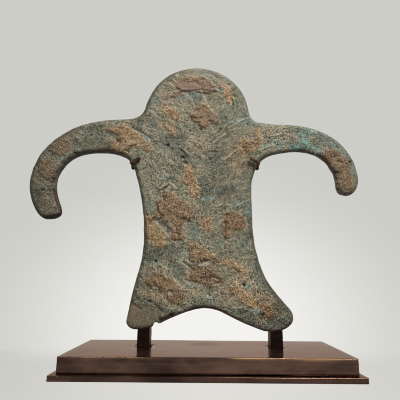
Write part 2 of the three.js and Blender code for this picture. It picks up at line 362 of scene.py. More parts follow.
black_bronze, tree = new_finish("black_bronze")
drawn = tree.cloud(1.4 * MM, 4, (1, 1, 30))
mottled = tree.cloud(9 * MM, 4)
scuffed = tree.cloud(2.6 * MM, 3, seed=4)
strapped = tree.mask("strap")
dark = (0.5 * drawn + 0.5 * mottled).fade(0.35, 0.68)
dark = dark.blend(tone(20, 15, 13), tone(52, 37, 31))
red = (0.4 * mottled + 0.6 * scuffed + 0.5 * (drawn - 0.5)).fade(0.36, 0.66)
red = red.blend(tone(26, 16, 13), tone(98, 70, 60))
close_finish(tree, {
    "Base Color": strapped.blend(dark, red),
    "Metallic": 0.75,
    "Specular Tint": GRAZING_BROWN,
    "Roughness": 0.26 + 0.2 * drawn + 0.15 * mottled + 0.2 * strapped,
    "Normal": bumped(tree, drawn + mottled, 0.03 * MM),
})

FIGURE_AXIS, SOLE_LEVEL = -10.4, 34.4
# Where each strap bends round the figure's edge: across from the figure's axis and up from its
# soles, in millimetres, the way the edge faces, in degrees, and how far the lip stands off.
BENDS = {"left": (-65.3, 160.5, -141, 0.1), "right": (61.3, 160.4, -40, 0.8)}
# A strap's gap to the edge and its thickness, as bent and then as pressed on, and how far it
# climbs in the pressing, in millimetres.
STRAP_GAP, STRAP_THICK = 0.6, 2.2
PRESSED_GAP, PRESSED_THICK, PRESSED_UP = -0.2, 1.5, 1.3
POST_VOXEL = 0.5 * MM
PLAIN_FOOT, STRAP_LEVEL, STRAP_BACK = 24 * MM, 186 * MM, 0.2 * MM

posts = []
for node, name in (("left_upright", "left"), ("right_upright", "right")):
    post_mesh = evened(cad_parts[node].data, POST_VOXEL, 3)
    post_at = points_of(post_mesh)
    hammered = 0.1 * grain(post_at, 9 * MM, 11) + 0.06 * grain(post_at, 3 * MM, 12)
    hammered *= soft_step(post_at[:, 2], PLAIN_FOOT, PLAIN_FOOT + 6 * MM)
    strap = soft_step(post_at[:, 2], STRAP_LEVEL, STRAP_LEVEL + 3 * MM)
    strap *= post_at[:, 1] < STRAP_BACK
    bend_across, bend_up, faces, stands_off = BENDS[name]
    out_x, out_z = math.cos(math.radians(faces)), math.sin(math.radians(faces))
    aside = post_at[:, 0] / MM - FIGURE_AXIS - bend_across
    above = post_at[:, 2] / MM - SOLE_LEVEL - bend_up
    outside = aside * out_x + above * out_z
    pressed = PRESSED_GAP + (outside - STRAP_GAP) * PRESSED_THICK / STRAP_THICK - outside
    pressed *= soft_step(outside, -0.5, 0.4) * strap
    climbed = PRESSED_UP * soft_step(outside, -9, 0) * strap
    climb_x = abs(out_z) * math.copysign(1, out_x)
    post_at += points_of(post_mesh, "normal") * hammered[:, None] * MM
    post_at[:, 0] += (pressed * out_x + climbed * climb_x) * MM
    post_at[:, 2] += (pressed * out_z + climbed * abs(out_x)) * MM
    lip = strap * soft_step(-post_at[:, 1], 9 * MM, 11 * MM) * soft_step(-outside, -0.5, 2.5)
    post_at[:, 1] -= stands_off * lip * MM
    set_points(post_mesh, post_at)
    carry(post_mesh, "strap", strap)
    post = new_piece(f"bronze_{name}_upright", post_mesh, black_bronze)
    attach(post, "root")
    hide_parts(node)
    posts.append(post)


# Figure. One flat casting of copper, hammered and long buried: a round head, two hooked arms
# and two spread legs. Grey-green patina covers it, with crusts of tan earth, brown flakes,
# turquoise spots, pits and broken edges. It hangs by its armpits in the hooks of the stand.

# Patches on the front, each an outline of points (across from the axis, up from the soles), in
# millimetres.
TAN_EARTH = (
    ((32.5, 45.5), (44, 48), (55, 42.5), (66.5, 34.5), (73, 26), (68.5, 15.5), (63, 18), (57.5, 29),
     (49.5, 36), (38, 37)),
    ((-40.5, 205.5), (-35.5, 208), (-28.5, 203), (-23, 197), (-21, 193), (-25, 193.5), (-31, 197),
     (-38, 200)),
    ((59, 34), (71.5, 32.5), (76, 25), (72.5, 14.5), (66, 13), (63, 22)),
    ((-53, 39.5), (-43.5, 36.5), (-34, 35), (-26, 33.5), (-27.5, 26), (-35, 27.5), (-51, 28.5)),
    ((-36, 236), (-28, 250), (-12, 259), (8, 260), (24, 254), (34, 241), (26, 244), (20, 250),
     (8, 253), (-8, 255), (-20, 250), (-26, 240)),
    ((-14, 47), (-7.5, 50), (1, 46.5), (8.5, 38), (7.5, 30.5), (-1.5, 30.5), (-9.5, 35),
     (-15, 40.5)),
    ((-47.5, 129.5), (-42.5, 132), (-39, 124.5), (-40, 117.5), (-46, 116.5)),
    ((-8.5, 122), (-3.5, 125), (0.5, 118), (0.5, 108), (-2.5, 99), (-7.5, 103), (-9.5, 112.5)),
    ((25, 84.5), (32.5, 85.5), (38.5, 79.5), (33.5, 75), (27, 76.5)),
    ((15, 61.5), (24, 63.5), (28.5, 57.5), (23, 53), (16, 55)),
    ((5.5, 258), (15.5, 256.5), (20.5, 250), (13, 248.5), (7, 252)),
    ((-39, 232.5), (-32, 235), (-26.5, 229.5), (-26.5, 221.5), (-32.5, 218), (-39, 223.5)),
    ((-33, 243), (-29, 251), (-21, 258.5), (-12, 259), (-16, 252), (-21, 246), (-23, 241)),
    ((-12.5, 186.5), (-7.5, 190.5), (-1, 188.5), (6, 188.5), (11, 182), (10, 175.5), (5, 173.5),
     (-1, 172.5), (-7, 175.5), (-11, 179)),
    ((29.5, 180), (38.5, 184.5), (47, 185.5), (48.5, 176), (52.5, 168.5), (50.5, 160), (46, 152),
     (36, 151), (29.5, 165)),
    ((-52.5, 35), (-47, 37.5), (-41.5, 36), (-35.5, 35), (-33.5, 30.5), (-34.5, 24), (-39, 24),
     (-44, 27.5), (-49.5, 29.5)),
    ((-28, 34), (-24.5, 37), (-19.5, 36), (-22.5, 30.5), (-25, 26), (-29, 20.5), (-31.5, 20.5),
     (-31, 26)),
    ((24.5, 43.5), (32.5, 45.5), (38, 44.5), (33, 38), (26.5, 36.5), (18, 37), (15, 41),
     (19, 43.5)),
    ((-13, 105.5), (-8.5, 107), (-9, 98), (-10, 90), (-6, 85), (-11, 83), (-15, 89)),
    ((62, 199.5), (75, 201), (92, 199.5), (92, 198), (75, 198), (63, 197.5)),
    ((70, 193.5), (85, 194), (99, 192.5), (99, 190.5), (85, 191), (71, 191.5)),
    ((115, 189), (121.5, 190), (125, 183.5), (127, 178.5), (121, 179.5), (116, 183.5)),
    ((-147.5, 125), (-140.5, 123), (-137, 116), (-140.5, 112), (-146.5, 115)),
    ((97, 191), (103, 191), (104, 187), (97.5, 185.5)),
    ((-18, 222.5), (-13, 220.5), (-7.5, 216), (-10.5, 211.5), (-16, 215)),
    ((-1, 201.5), (5, 200.5), (9, 204), (14, 206), (16.5, 203), (10, 199.5), (3, 197.5)),
    ((-41.5, 203.5), (-38.5, 209), (-32.5, 210.5), (-27, 207), (-24, 201.5), (-21.5, 196),
     (-24.5, 194), (-29, 198.5), (-35, 199.5), (-40.5, 199.5)),
    ((-49, 59.5), (-42.5, 58), (-33, 60), (-26, 55.5), (-24, 48), (-30.5, 50), (-42, 50.5),
     (-48.5, 52)),
    ((21, 46), (29.5, 49), (39, 47), (43.5, 42), (36, 38), (32.5, 27.5), (25.5, 27.5),
     (24.5, 37.5)),
    ((-31, 244), (-28, 246.5), (-22.5, 244), (-19.5, 242), (-22.5, 238.5), (-28.5, 235),
     (-36, 232.5), (-42.5, 234), (-41.5, 237), (-35, 238.5)),
    ((15.5, 238.5), (21.5, 239.5), (22.5, 234), (17.5, 231.5), (14, 234)),
    ((-23.5, 132), (-18.5, 130), (-12.5, 125), (-6.5, 121), (-4.5, 117), (-9.5, 120), (-15.5, 124),
     (-21.5, 127)),
    ((-36.5, 141), (-28.5, 140), (-24.5, 137), (-30.5, 133), (-37.5, 135)),
    ((-13, 82), (-6, 84), (3.5, 81.5), (10.5, 77.5), (17, 72), (9.5, 73.5), (1.5, 78.5),
     (-6, 79.5)),
    ((-13, 35), (-7.5, 38), (-1, 31.5), (-5.5, 28), (-11, 26)),
    ((-100, 199), (-90, 202.5), (-77.5, 204), (-67, 200.5), (-56.5, 192.5), (-65, 195),
     (-75.5, 201.5), (-87.5, 200.5)),
    ((-58, 180), (-47.5, 175.5), (-39.5, 173.5), (-47.5, 172.5), (-58, 175.5)),
    ((58, 10), (63.5, 10), (64.5, 6.5), (59.5, 5.5)),
)
OCHRE_EARTH = (
    ((-30.5, 202.5), (-25, 199.5), (-22, 194.5), (-24.5, 194), (-29, 198.5)),
    ((25.5, 247), (31, 244.5), (35.5, 239.5), (36.5, 233), (36, 227), (33, 227), (31, 233),
     (28, 237), (25.5, 239.5), (24.5, 244)),
    ((4.5, 101.5), (8, 106), (14, 104.5), (13, 99), (15.5, 95.5), (9.5, 93.5), (5, 95.5)),
    ((-35.5, 219), (-33.5, 223.5), (-30.5, 222.5), (-26.5, 220), (-23, 218), (-20, 214),
     (-18, 209.5), (-20, 207), (-24, 209), (-28, 211.5), (-32.5, 214.5)),
    ((-15, 148.5), (-13, 155.5), (-9, 160), (-5, 157.5), (-3, 151.5), (-0.5, 144), (1.5, 138),
     (2.5, 131), (0.5, 125), (-3.5, 128), (-5.5, 134), (-7.5, 140), (-11.5, 142)),
    ((-50.5, 109.5), (-48.5, 110.5), (-47.5, 105.5), (-44.5, 102.5), (-40.5, 99.5), (-37.5, 96.5),
     (-33.5, 94), (-31.5, 90), (-29.5, 85), (-30, 81), (-34, 77.5), (-38, 76.5), (-41, 80),
     (-45, 84), (-48, 86), (-50, 93.5)),
    ((34, 39), (38, 43), (41.5, 39), (45.5, 34.5), (51, 31), (55.5, 29), (58.5, 25.5), (57.5, 22),
     (52.5, 21), (48, 23.5), (43.5, 27), (38.5, 31), (35, 34.5)),
    ((25.5, 62), (35.5, 65), (41, 58), (50, 56.5), (47, 52.5), (38, 54), (32.5, 59.5), (27, 59.5)),
    ((33, 40), (38, 41), (41.5, 38), (41.5, 34.5), (38, 32.5), (34, 34.5)),
    ((62, 24.5), (66, 24.5), (68.5, 20), (71, 14.5), (68, 12), (64.5, 14.5), (63, 19)),
    ((44, 184.5), (49, 187.5), (51, 185), (49, 180), (49.5, 175), (46.5, 172.5), (43.5, 176)),
    ((59.5, 197.5), (62.5, 196.5), (65.5, 190), (66, 185.5), (63, 183.5), (60, 189)),
    ((44.5, 48.5), (48.5, 48.5), (49.5, 45.5), (45.5, 45)),
    ((130.5, 175.5), (136, 176), (141.5, 174.5), (144.5, 172), (138.5, 171), (132.5, 173)),
)
GOLDEN_CRUST = (
    ((2, 208), (10, 208), (14.5, 205.5), (10, 202), (4.5, 199.5), (0.5, 203)),
    ((-90, 183), (-86, 186), (-80, 183.5), (-76, 179), (-68, 172), (-76, 171.5), (-86, 175)),
    ((-2, 73), (6.5, 74), (15, 71), (19, 67), (10.5, 65.5), (2, 65.5), (-3, 67.5)),
    ((-99, 197), (-94, 199), (-87.5, 201), (-81.5, 202.5), (-75.5, 202), (-70, 200.5), (-65, 196),
     (-58.5, 192), (-54.5, 188.5), (-50, 184), (-47, 178.5), (-44.5, 174.5), (-49.5, 174.5),
     (-55, 176.5), (-60, 178.5), (-66, 177.5), (-69, 174.5), (-71, 170), (-75, 172), (-81.5, 174),
     (-86.5, 177.5), (-84.5, 179.5), (-79.5, 181), (-81, 185), (-83, 187), (-80, 190.5),
     (-84, 192.5), (-91.5, 195.5)),
)
BROWN_CRUST = (
    ((113.5, 175), (120.5, 175.5), (122.5, 172), (116.5, 172)),
    ((-30, 105.5), (-23, 106.5), (-16, 102), (-14, 94), (-16, 86), (-22.5, 86), (-24.5, 94),
     (-30.5, 99.5)),
    ((-20.5, 246.5), (-17.5, 253), (-12, 256.5), (-1.5, 255.5), (8, 256.5), (14, 252), (18.5, 246),
     (21, 240), (14, 239.5), (6, 240.5), (-3, 241), (-11, 239), (-17.5, 240)),
    ((-3.5, 216), (-2.5, 220), (3, 224), (6, 226.5), (9, 225), (12, 221.5), (17.5, 217),
     (21.5, 212.5), (22.5, 207), (18.5, 206), (14, 207), (11, 205), (7, 202.5), (3, 201.5),
     (0, 206), (-4.5, 209.5), (-7.5, 212.5)),
    ((-149.5, 175), (-146, 179.5), (-142, 184), (-138.5, 186.5), (-134, 184), (-131, 179.5),
     (-130.5, 175), (-133, 172), (-139, 170.5), (-144.5, 172)),
    ((-160.5, 162.5), (-158, 166.5), (-153, 164.5), (-148.5, 161.5), (-145, 157), (-142.5, 152),
     (-143, 145.5), (-146, 142.5), (-150, 145.5), (-154.5, 150), (-158, 155)),
    ((127.5, 174), (131, 177), (136, 176), (141, 175.5), (145.5, 172), (149.5, 168), (152, 162.5),
     (152.5, 157.5), (153, 152), (154, 147), (155.5, 143), (155.5, 139.5), (152.5, 137), (148, 136),
     (143.5, 137.5), (141, 141.5), (139.5, 146), (138, 151), (134.5, 158.5), (131, 165.5),
     (128.5, 170)),
    ((-31.5, 131), (-28.5, 133), (-24.5, 131.5), (-20.5, 128), (-16.5, 124), (-10.5, 119.5),
     (-6.5, 115.5), (-3.5, 111), (-2.5, 106), (-7.5, 104.5), (-12, 106.5), (-16, 104.5), (-15, 100),
     (-16, 95), (-16, 90), (-18.5, 89), (-22.5, 93), (-25, 98), (-26, 102.5), (-30, 105.5),
     (-34, 107.5), (-38.5, 106.5), (-43.5, 104.5), (-45.5, 106.5), (-40.5, 108.5), (-39, 112.5),
     (-38.5, 117.5), (-40, 121.5), (-38, 123.5), (-33, 123), (-32, 126.5)),
    ((27.5, 110), (32, 111), (38, 111.5), (42.5, 110), (46.5, 106), (47.5, 101), (44.5, 97.5),
     (39.5, 96), (34.5, 95.5), (32, 93), (31.5, 88.5), (30, 86.5), (28.5, 89.5), (28, 96),
     (28, 103)),
    ((-6, 78.5), (-1, 80), (2.5, 77.5), (7.5, 75.5), (12.5, 73.5), (16, 71), (21, 67), (23, 64.5),
     (18, 63.5), (14.5, 66), (8.5, 66.5), (5.5, 63.5), (3, 61.5), (-1, 63), (-5, 66), (-6, 70.5)),
    ((-7.5, 52), (-5, 54.5), (-2, 57.5), (-1, 61.5), (2, 59.5), (4.5, 57.5), (9.5, 59.5),
     (13.5, 58.5), (16, 55), (19, 51), (24, 48.5), (27.5, 47), (23, 45.5), (17, 46), (14.5, 42.5),
     (10.5, 41.5), (7.5, 45.5), (3, 45.5), (-3, 47), (-8.5, 46)),
    ((-46.5, 47), (-44.5, 51), (-40, 53), (-34.5, 51.5), (-28.5, 50), (-24.5, 47), (-21, 44.5),
     (-17, 40.5), (-15, 37), (-19, 36.5), (-24.5, 37), (-29, 35.5), (-33, 37), (-36, 40),
     (-40.5, 40.5), (-44.5, 42.5), (-47.5, 44)),
    ((-22.5, 31.5), (-18.5, 35), (-14, 33.5), (-10, 30.5), (-12, 28), (-16.5, 25), (-22.5, 27),
     (-26, 28.5), (-25.5, 32.5)),
    ((49, 181), (51, 184.5), (56, 185.5), (61, 184), (63, 180), (61, 176), (56, 174.5), (51.5, 175),
     (50, 177)),
)
SMOOTH_FLAKES = (
    ((-18, 245.5), (-16, 240), (-11, 239), (-3, 241), (1.5, 241), (5, 243.5), (5.5, 247),
     (3, 250.5), (0.5, 250), (-1, 253), (-2.5, 251), (-4, 253), (-6.5, 251), (-9, 254.5),
     (-10, 251.5), (-11, 252), (-12.5, 249), (-15, 251), (-16, 247.5)),
    ((6.5, 246), (6, 241), (10, 240.5), (14.5, 239.5), (20.5, 239.5), (21, 243.5), (19.5, 247.5),
     (17, 246), (14.5, 248), (12.5, 245.5), (11, 247.5), (8.5, 245.5)),
    ((-29, 232.5), (-26.5, 237), (-22, 240), (-18, 240), (-18.5, 236), (-23, 233)),
    ((9, 211.5), (9, 216.5), (14, 217), (19.5, 214), (21.5, 209.5), (21.5, 206), (17.5, 207),
     (13, 208), (10, 209)),
)
DARK_TEAL = (
    ((57.5, 70), (62, 58), (68.5, 46.5), (75.5, 36.5), (83, 27.5), (88, 20), (91, 13), (85, 12),
     (81.5, 19.5), (75, 26.5), (68, 35.5), (60.5, 46.5), (55, 59.5)),
    ((-10, 238.5), (-1.5, 238.5), (5, 234), (3, 228), (-5.5, 228), (-10, 232.5)),
    ((12, 236), (20.5, 237.5), (23.5, 231.5), (17.5, 228.5), (11, 230.5)),
    ((-38, 193), (-30, 190.5), (-21.5, 193), (-13.5, 190.5), (-10.5, 185.5), (-15.5, 179),
     (-9, 170.5), (-8, 164), (-14, 164), (-21, 170.5), (-29.5, 173.5), (-36.5, 177.5),
     (-40, 186.5)),
    ((0, 146.5), (6, 148.5), (11, 144.5), (13.5, 134), (9.5, 127), (3.5, 126), (0.5, 134)),
    ((-49.5, 81), (-42.5, 78), (-38, 76.5), (-31, 78.5), (-24.5, 79.5), (-18.5, 74.5), (-15.5, 69),
     (-19.5, 67), (-27, 70.5), (-34.5, 68.5), (-41.5, 63), (-47, 61), (-50, 68.5)),
    ((-25, 63), (-19, 63), (-13.5, 59.5), (-9.5, 53.5), (-11.5, 46), (-15, 46), (-21, 53.5),
     (-26, 58.5)),
    ((-61, 30), (-52.5, 28.5), (-43, 27.5), (-36.5, 24), (-31.5, 20.5), (-22, 17.5), (-26, 15),
     (-33.5, 17), (-39, 20.5), (-46, 25), (-54, 25), (-62, 25.5)),
    ((-39.5, 104.5), (-34.5, 103.5), (-29, 101.5), (-25.5, 96), (-29.5, 95), (-35.5, 97),
     (-39.5, 100.5)),
    ((32, 20), (41.5, 21), (50.5, 17.5), (58, 15.5), (64.5, 13), (74, 12), (85, 11), (87.5, 7.5),
     (81, 3), (69, 2), (58, 4), (47, 9), (37.5, 14.5)),
    ((-30, 254.5), (-24, 253), (-20.5, 248.5), (-23.5, 246.5), (-28, 248.5)),
    ((15.5, 218), (23.5, 216), (29.5, 210.5), (25.5, 207), (21.5, 208.5), (17.5, 212.5)),
    ((11, 165), (19.5, 173.5), (24.5, 169.5), (22.5, 160), (15, 157)),
    ((13, 262.5), (19.5, 260), (21.5, 255.5), (15.5, 255.5), (11, 259)),
    ((-126, 186), (-114.5, 185), (-107, 180.5), (-115, 176.5), (-125.5, 177.5)),
    ((94.5, 182.5), (104.5, 180.5), (116.5, 179.5), (124.5, 174), (116.5, 176), (104.5, 176),
     (95.5, 176)),
    ((-165.5, 138.5), (-160, 133.5), (-155, 123), (-156.5, 116), (-161, 123)),
    ((47.5, 92.5), (53, 91.5), (53, 83.5), (47, 83.5)),
    ((-48.5, 207), (-43.5, 206), (-43.5, 199.5), (-47.5, 198), (-49.5, 202.5)),
    ((-9, 15), (-3.5, 22.5), (4, 25), (9.5, 22.5), (0.5, 19.5)),
    ((23, 138), (35, 138), (43, 132), (33, 126), (24, 129), (17, 128), (16, 133)),
    ((-112.5, 199), (-103.5, 203.5), (-94, 199), (-102, 196), (-110, 194.5)),
)
OLIVE_SKIN = (
    ((-62.5, 24), (-56, 25), (-47.5, 23), (-41, 22), (-35.5, 19.5), (-32.5, 16), (-33, 10.5),
     (-37, 9.5), (-40.5, 7), (-40.5, 3.5), (-46, 1.5), (-55, 1.5), (-62, 4), (-64, 8.5),
     (-64, 15.5)),
)
GREEN_WASH = (
    ((103.5, 200), (115.5, 198.5), (127.5, 194.5), (139.5, 187), (151, 174), (158, 160.5),
     (159, 147), (155, 147), (150, 160.5), (142.5, 174), (133, 180.5), (122.5, 176), (110.5, 176),
     (98.5, 177), (92.5, 181.5), (97, 189)),
    ((48.5, 119), (53.5, 119), (54, 96), (49.5, 98)),
    ((29.5, 204), (40, 215), (52.5, 219.5), (54.5, 210.5), (66.5, 206), (60.5, 202), (44, 202)),
    ((-10, 100), (-0.5, 102), (3.5, 96), (3.5, 86), (-4, 84), (-9, 90)),
    ((15, 88), (25, 84.5), (36.5, 86.5), (48, 80.5), (52, 73), (42, 73), (28.5, 76.5), (17, 78.5)),
    ((-48, 127.5), (-43, 125.5), (-41, 113.5), (-45.5, 111.5), (-50, 117.5)),
)
# Spots as (across, up, half length, half width, turn in degrees).
TURQUOISE_SPOTS = (
    (7, 260, 5.5, 2, -45), (16, 254, 3.5, 2, -50), (-44, 230, 4.5, 1.5, 5), (-13, 234, 5, 1.5, 5),
    (-4, 237, 4.5, 2.5, 0), (24, 241, 3, 2.5, 0), (-51, 190, 4, 2.5, -60),
    (-149, 171, 2.5, 1.5, -30), (-134, 168, 4, 2, 20), (-120, 175, 3.5, 1.5, 10),
    (-153, 138, 2, 2, 0), (-117, 191, 2, 1.5, 0), (-162, 127, 2, 1.5, 0), (108, 189, 5.5, 2.5, -60),
    (110, 184, 3, 2, -40), (116, 196, 5, 2.5, -25), (102, 180, 6, 2.5, 0), (117, 179, 6, 2.5, -10),
    (123, 175, 4, 2.5, -20), (122, 192, 2, 1.5, 0), (149, 174, 5, 2.5, -60),
    (156, 153, 4.5, 2, -70), (140, 182, 4, 1.5, -30), (84, 182, 3.5, 2.5, 20),
    (79, 186, 1.5, 1.5, 0), (69, 180, 3, 1.5, 15), (6, 124, 2.5, 1, 10), (16, 126, 2, 2, 0),
    (9, 137, 1.5, 1.5, 0), (41, 148, 2, 2, 0), (-9, 71, 2, 1.5, 0), (12, 30, 2, 3, 80),
    (48.4, 40.4, 1.8, 1.8, 0), (56, 18.5, 2.6, 2.2, 0), (44, 24, 1.8, 1.5, 0),
    (36, 18, 2.4, 1.8, 0), (-40, 54, 2.5, 1.5, 0), (-38, 61, 3, 1, 20), (-43, 116, 3, 1.5, 80),
    (-3, 41, 3.5, 2, 0), (3, 88, 3, 2, 0), (-2, 92, 2, 1.4, 0), (50, 112, 3, 1.5, 80),
    (-33, 147, 3, 2, -40), (-88, 205, 3, 1.5, 0), (44, 207, 5.5, 2, 25), (-40, 173, 2.5, 1, 0),
    (-3, 165, 2.5, 1, 0), (23, 134, 4, 1.5, 10), (40, 120, 3, 1.5, 0),
)
BRIGHT_SPOTS = (
    (110.4, 185.2, 5, 2.4, -50), (-9.3, 70.3, 1.9, 1.6, 0), (14.7, 125.4, 1.8, 2, 0),
    (6.8, 124.4, 2.6, 1.3, 10), (56.7, 18.7, 2.1, 1.9, 0), (48.2, 40.2, 1.7, 1.7, 0),
    (116, 196, 3.2, 1.6, -25), (11.9, 30.2, 1.9, 1.6, 0), (118.2, 178.8, 3, 1.5, -10),
    (101, 179.5, 3.5, 1.5, 0), (-136, 167, 1.8, 1.3, 20), (-118, 176, 1.6, 1.2, 15),
    (-123.5, 173, 1.3, 1, 0), (-50.5, 188, 2, 1.5, -40), (70.5, 180.5, 1.6, 1.1, 20),
    (86, 183, 1.5, 1.2, 0), (79, 186, 1.1, 0.9, 0),
)
# Round holes as (across, up, radius), then lines as (from across, up, to across, up, width).
PITS = (
    (24.2, 198.4, 1.7), (-7.3, 196.1, 1.3), (-29.6, 180.9, 1.9), (-32.3, 189, 1.2),
    (-14.1, 168.4, 1.9), (-11, 163, 1.4), (-15.7, 176.2, 1.2), (-44.5, 184.7, 1.1),
    (-53.1, 168.6, 0.9), (-51, 166.5, 0.8), (45.5, 42.3, 1.7), (46.4, 41, 1.4), (58.3, 35.5, 1.2),
    (52.2, 49.8, 1), (-38.4, 63.9, 1.7), (13.1, 32.5, 1.3), (27.7, 134.1, 1.2), (32.3, 72.4, 1.1),
    (154.1, 163.6, 2.1), (-153.9, 133.3, 1.5), (-152.2, 134.3, 1), (-146.6, 132.8, 1.1),
    (-147.2, 169.8, 1.2), (-123.9, 172.3, 1.2), (87.9, 187.5, 1.2), (-134.8, 168.6, 1.1),
    (-0.8, 38.9, 1.2), (-108.3, 191.5, 1.5), (-117, 191.4, 1.1), (23.1, 243.6, 1),
    (25.7, 241.3, 1.2), (51.8, 203.4, 1.2), (6.3, 259.8, 1), (10.5, 261.9, 1), (102.8, 197, 0.9),
    (83.8, 194.1, 0.9), (60.7, 177, 1), (62.7, 15.1, 1.4), (5.4, 106.3, 1.2), (9.9, 101.4, 1),
    (7.4, 97, 1), (-144.6, 145.2, 1.3), (-149.2, 164, 1), (-16.6, 197.2, 1.2), (-21.8, 200.5, 1),
    (4.1, 79.9, 1), (-23.5, 189.5, 1), (-21, 188, 0.9), (-18.5, 189, 1.1), (-16, 187.5, 0.9),
    (-19.5, 185, 0.8), (-25, 186, 0.8), (-32, 181.5, 1.1), (-14, 181, 0.9), (-41, 191, 0.9),
    (-37.5, 188.5, 0.9), (85.5, 185.5, 0.9), (82.5, 182, 0.9),
)
CRACKS = (
    (-16.7, 240.1, -6.8, 240.3, 0.8), (-6.8, 241.2, 3.2, 241.8, 0.7), (3.2, 241.8, 4.8, 243.4, 0.9),
    (5.3, 241.8, 11.1, 241.4, 0.8), (11.1, 240.7, 22.6, 239.6, 0.8),
    (-28.1, 233.3, -23.4, 233.2, 1.1), (-12, 215.9, -8.5, 215.2, 0.6),
    (-2.4, 219.8, 1.8, 220.1, 0.9), (11.6, 207.6, 17.3, 206.5, 0.9),
    (-6.4, 210.9, -1.3, 210.4, 0.8), (-17.3, 177.2, -13.2, 174.1, 0.7),
    (-13.2, 173.5, -9.5, 169.3, 0.8), (-16.1, 168.2, -11.6, 167.7, 1), (-13, 163.5, -10, 162.1, 1),
    (-33.5, 134.3, -29.1, 138.4, 1.1), (-38.5, 118.6, -37.7, 112.6, 1),
    (-40.1, 121.3, -38.1, 120.6, 0.8), (-32.4, 124.3, -30.3, 127.1, 1),
    (-35.8, 109.6, -32.8, 108, 1), (28.4, 103, 29.3, 99, 0.8), (28.6, 97, 28.1, 92, 0.7),
    (29, 90, 28.4, 86.5, 0.7), (29, 109.6, 31.9, 108.9, 1.1), (-16.1, 104.7, -11.2, 104.8, 0.9),
    (-8.2, 102.8, -6.3, 102.2, 0.9), (-19.8, 94.3, -16.4, 92.9, 0.8),
    (-18.8, 90.4, -15.4, 89.4, 0.8), (-38.2, 23.2, -31.5, 18.1, 1), (-44.9, 26.7, -41.1, 24.9, 0.9),
    (-60.8, 25.2, -51.2, 19.4, 0.8), (34.8, 58.6, 40, 54, 0.9), (3.8, 48.6, 9.5, 49.1, 0.8),
    (13.3, 50.7, 24.7, 47, 0.8), (-2.9, 60.5, 2.8, 57.5, 0.9), (4.7, 63.2, 7.6, 65.4, 0.9),
    (12.2, 167.8, 14.2, 165.7, 0.9), (14.2, 174.2, 20.8, 174.2, 0.7), (-12.6, 64, -1.9, 55.6, 0.8),
    (136.7, 151.5, 144.3, 153.1, 0.7), (141.1, 165.1, 146, 162.5, 0.8),
    (-49.7, 112.5, -47.5, 107.6, 0.8), (-43.5, 104.6, -41.6, 106.6, 0.8),
    (-89.5, 195.9, -81.1, 192.1, 0.8), (-82.9, 186.7, -77.7, 184.5, 0.8),
    (-67.1, 200.3, -52.4, 192.7, 0.8), (-52.4, 192.2, -45.1, 188.4, 0.8),
    (-74.2, 175.4, -69, 173.3, 0.8), (-68.2, 178.7, -62.2, 180.8, 0.8),
)
RIDGES = (
    (3, 241.2, 5.9, 233.9, 1), (5.9, 233.9, 10.1, 226, 1), (-10.4, 237.2, -5.6, 230.5, 0.9),
    (-5.6, 230.5, -3.5, 222.6, 0.8), (-30.1, 249.7, -22.6, 244, 0.9),
    (-48.1, 218, -37.4, 208.1, 0.9), (-33.5, 153.4, -28.8, 147.2, 0.9),
    (-27.2, 142.1, -20.6, 135.9, 1.3), (-40.5, 101.7, -35.5, 95.8, 0.9),
    (-35.5, 95.8, -28.6, 93.8, 0.8), (-32.4, 92.8, -25.5, 86.1, 0.9),
    (-27.7, 99.7, -20.8, 93.9, 1.1), (-16.8, 63.1, -6.7, 56.8, 1.2), (2.3, 58.5, 14.7, 64.7, 1.1),
    (-9.7, 64.5, -0.1, 58.4, 1.2), (-10.5, 127.8, -6.5, 124.8, 0.7),
    (19.2, 117.4, 24.1, 118.9, 0.9), (29, 118.9, 33, 117.9, 0.8), (23.9, 78.6, 25.3, 76.2, 0.9),
    (16.3, 183.3, 29.6, 193, 0.8), (27.4, 165.2, 39.6, 175.9, 0.8), (-41.5, 38.6, -35.8, 37.7, 0.9),
    (-24.1, 19.5, -18.5, 20.5, 0.8), (53.7, 172.2, 66, 178.1, 0.9), (-13.2, 174.6, -9.6, 172, 0.6),
    (-36.5, 134.8, -31.6, 139.5, 0.6), (-31.5, 133.3, -27.1, 137.4, 0.6),
    (12.1, 220.4, 20.4, 212.7, 0.7), (3.1, 172.5, 6.1, 168.3, 0.7), (37.9, 117, 52.8, 125.1, 0.7),
    (-55.8, 201.4, -49.5, 198.2, 0.8), (-22.3, 227, -14.9, 222.6, 0.8), (6.6, 57.5, 15.2, 63.3, 1),
    (66, 177, 78.3, 181.3, 0.8), (41, 206.1, 51.4, 210.6, 0.8), (31.7, 199.5, 44.1, 206.1, 0.8),
    (72.5, 191, 83.7, 192.1, 0.6), (88.8, 192.1, 96.9, 191.1, 0.6), (33.9, 20.4, 42.3, 20.9, 0.8),
    (46, 20, 52.5, 18.2, 0.7),
)
BROKEN_EDGES = (
    (-33, 9, -22.5, 14, 2.4), (-142.6, 132.3, -138.5, 122, 2.6), (-138.5, 122, -133.5, 112, 2.4),
    (-134, 109.5, -140, 106.3, 2.2), (-140, 106.1, -152, 105.6, 1.8),
)
FIGURE_VOXEL, FIGURE_MIDDLE = 0.985 * MM, -5.6
OUTSIDE = -6

figure_mesh = evened(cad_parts["figure"].data, FIGURE_VOXEL, 3)
figure_at = points_of(figure_mesh)
figure_out = points_of(figure_mesh, "normal")
flatness = np.abs(figure_out[:, 1])
across = figure_at[:, 0] / MM - FIGURE_AXIS
up = figure_at[:, 2] / MM - SOLE_LEVEL
in_front = soft_step(FIGURE_MIDDLE + 1.5 - figure_at[:, 1] / MM, 0, 2)


def wander(seed):
    """How far an outline strays at each point, in millimetres."""
    return 0.9 * grain(figure_at, 8 * MM, seed) + 0.8 * grain(figure_at, 3.6 * MM, seed + 1)


stray_across, stray_up = wander(21), wander(25)


def strayed(share):
    """The places of all points, moved by a share of the straying."""
    return across + share * stray_across, up + share * stray_up


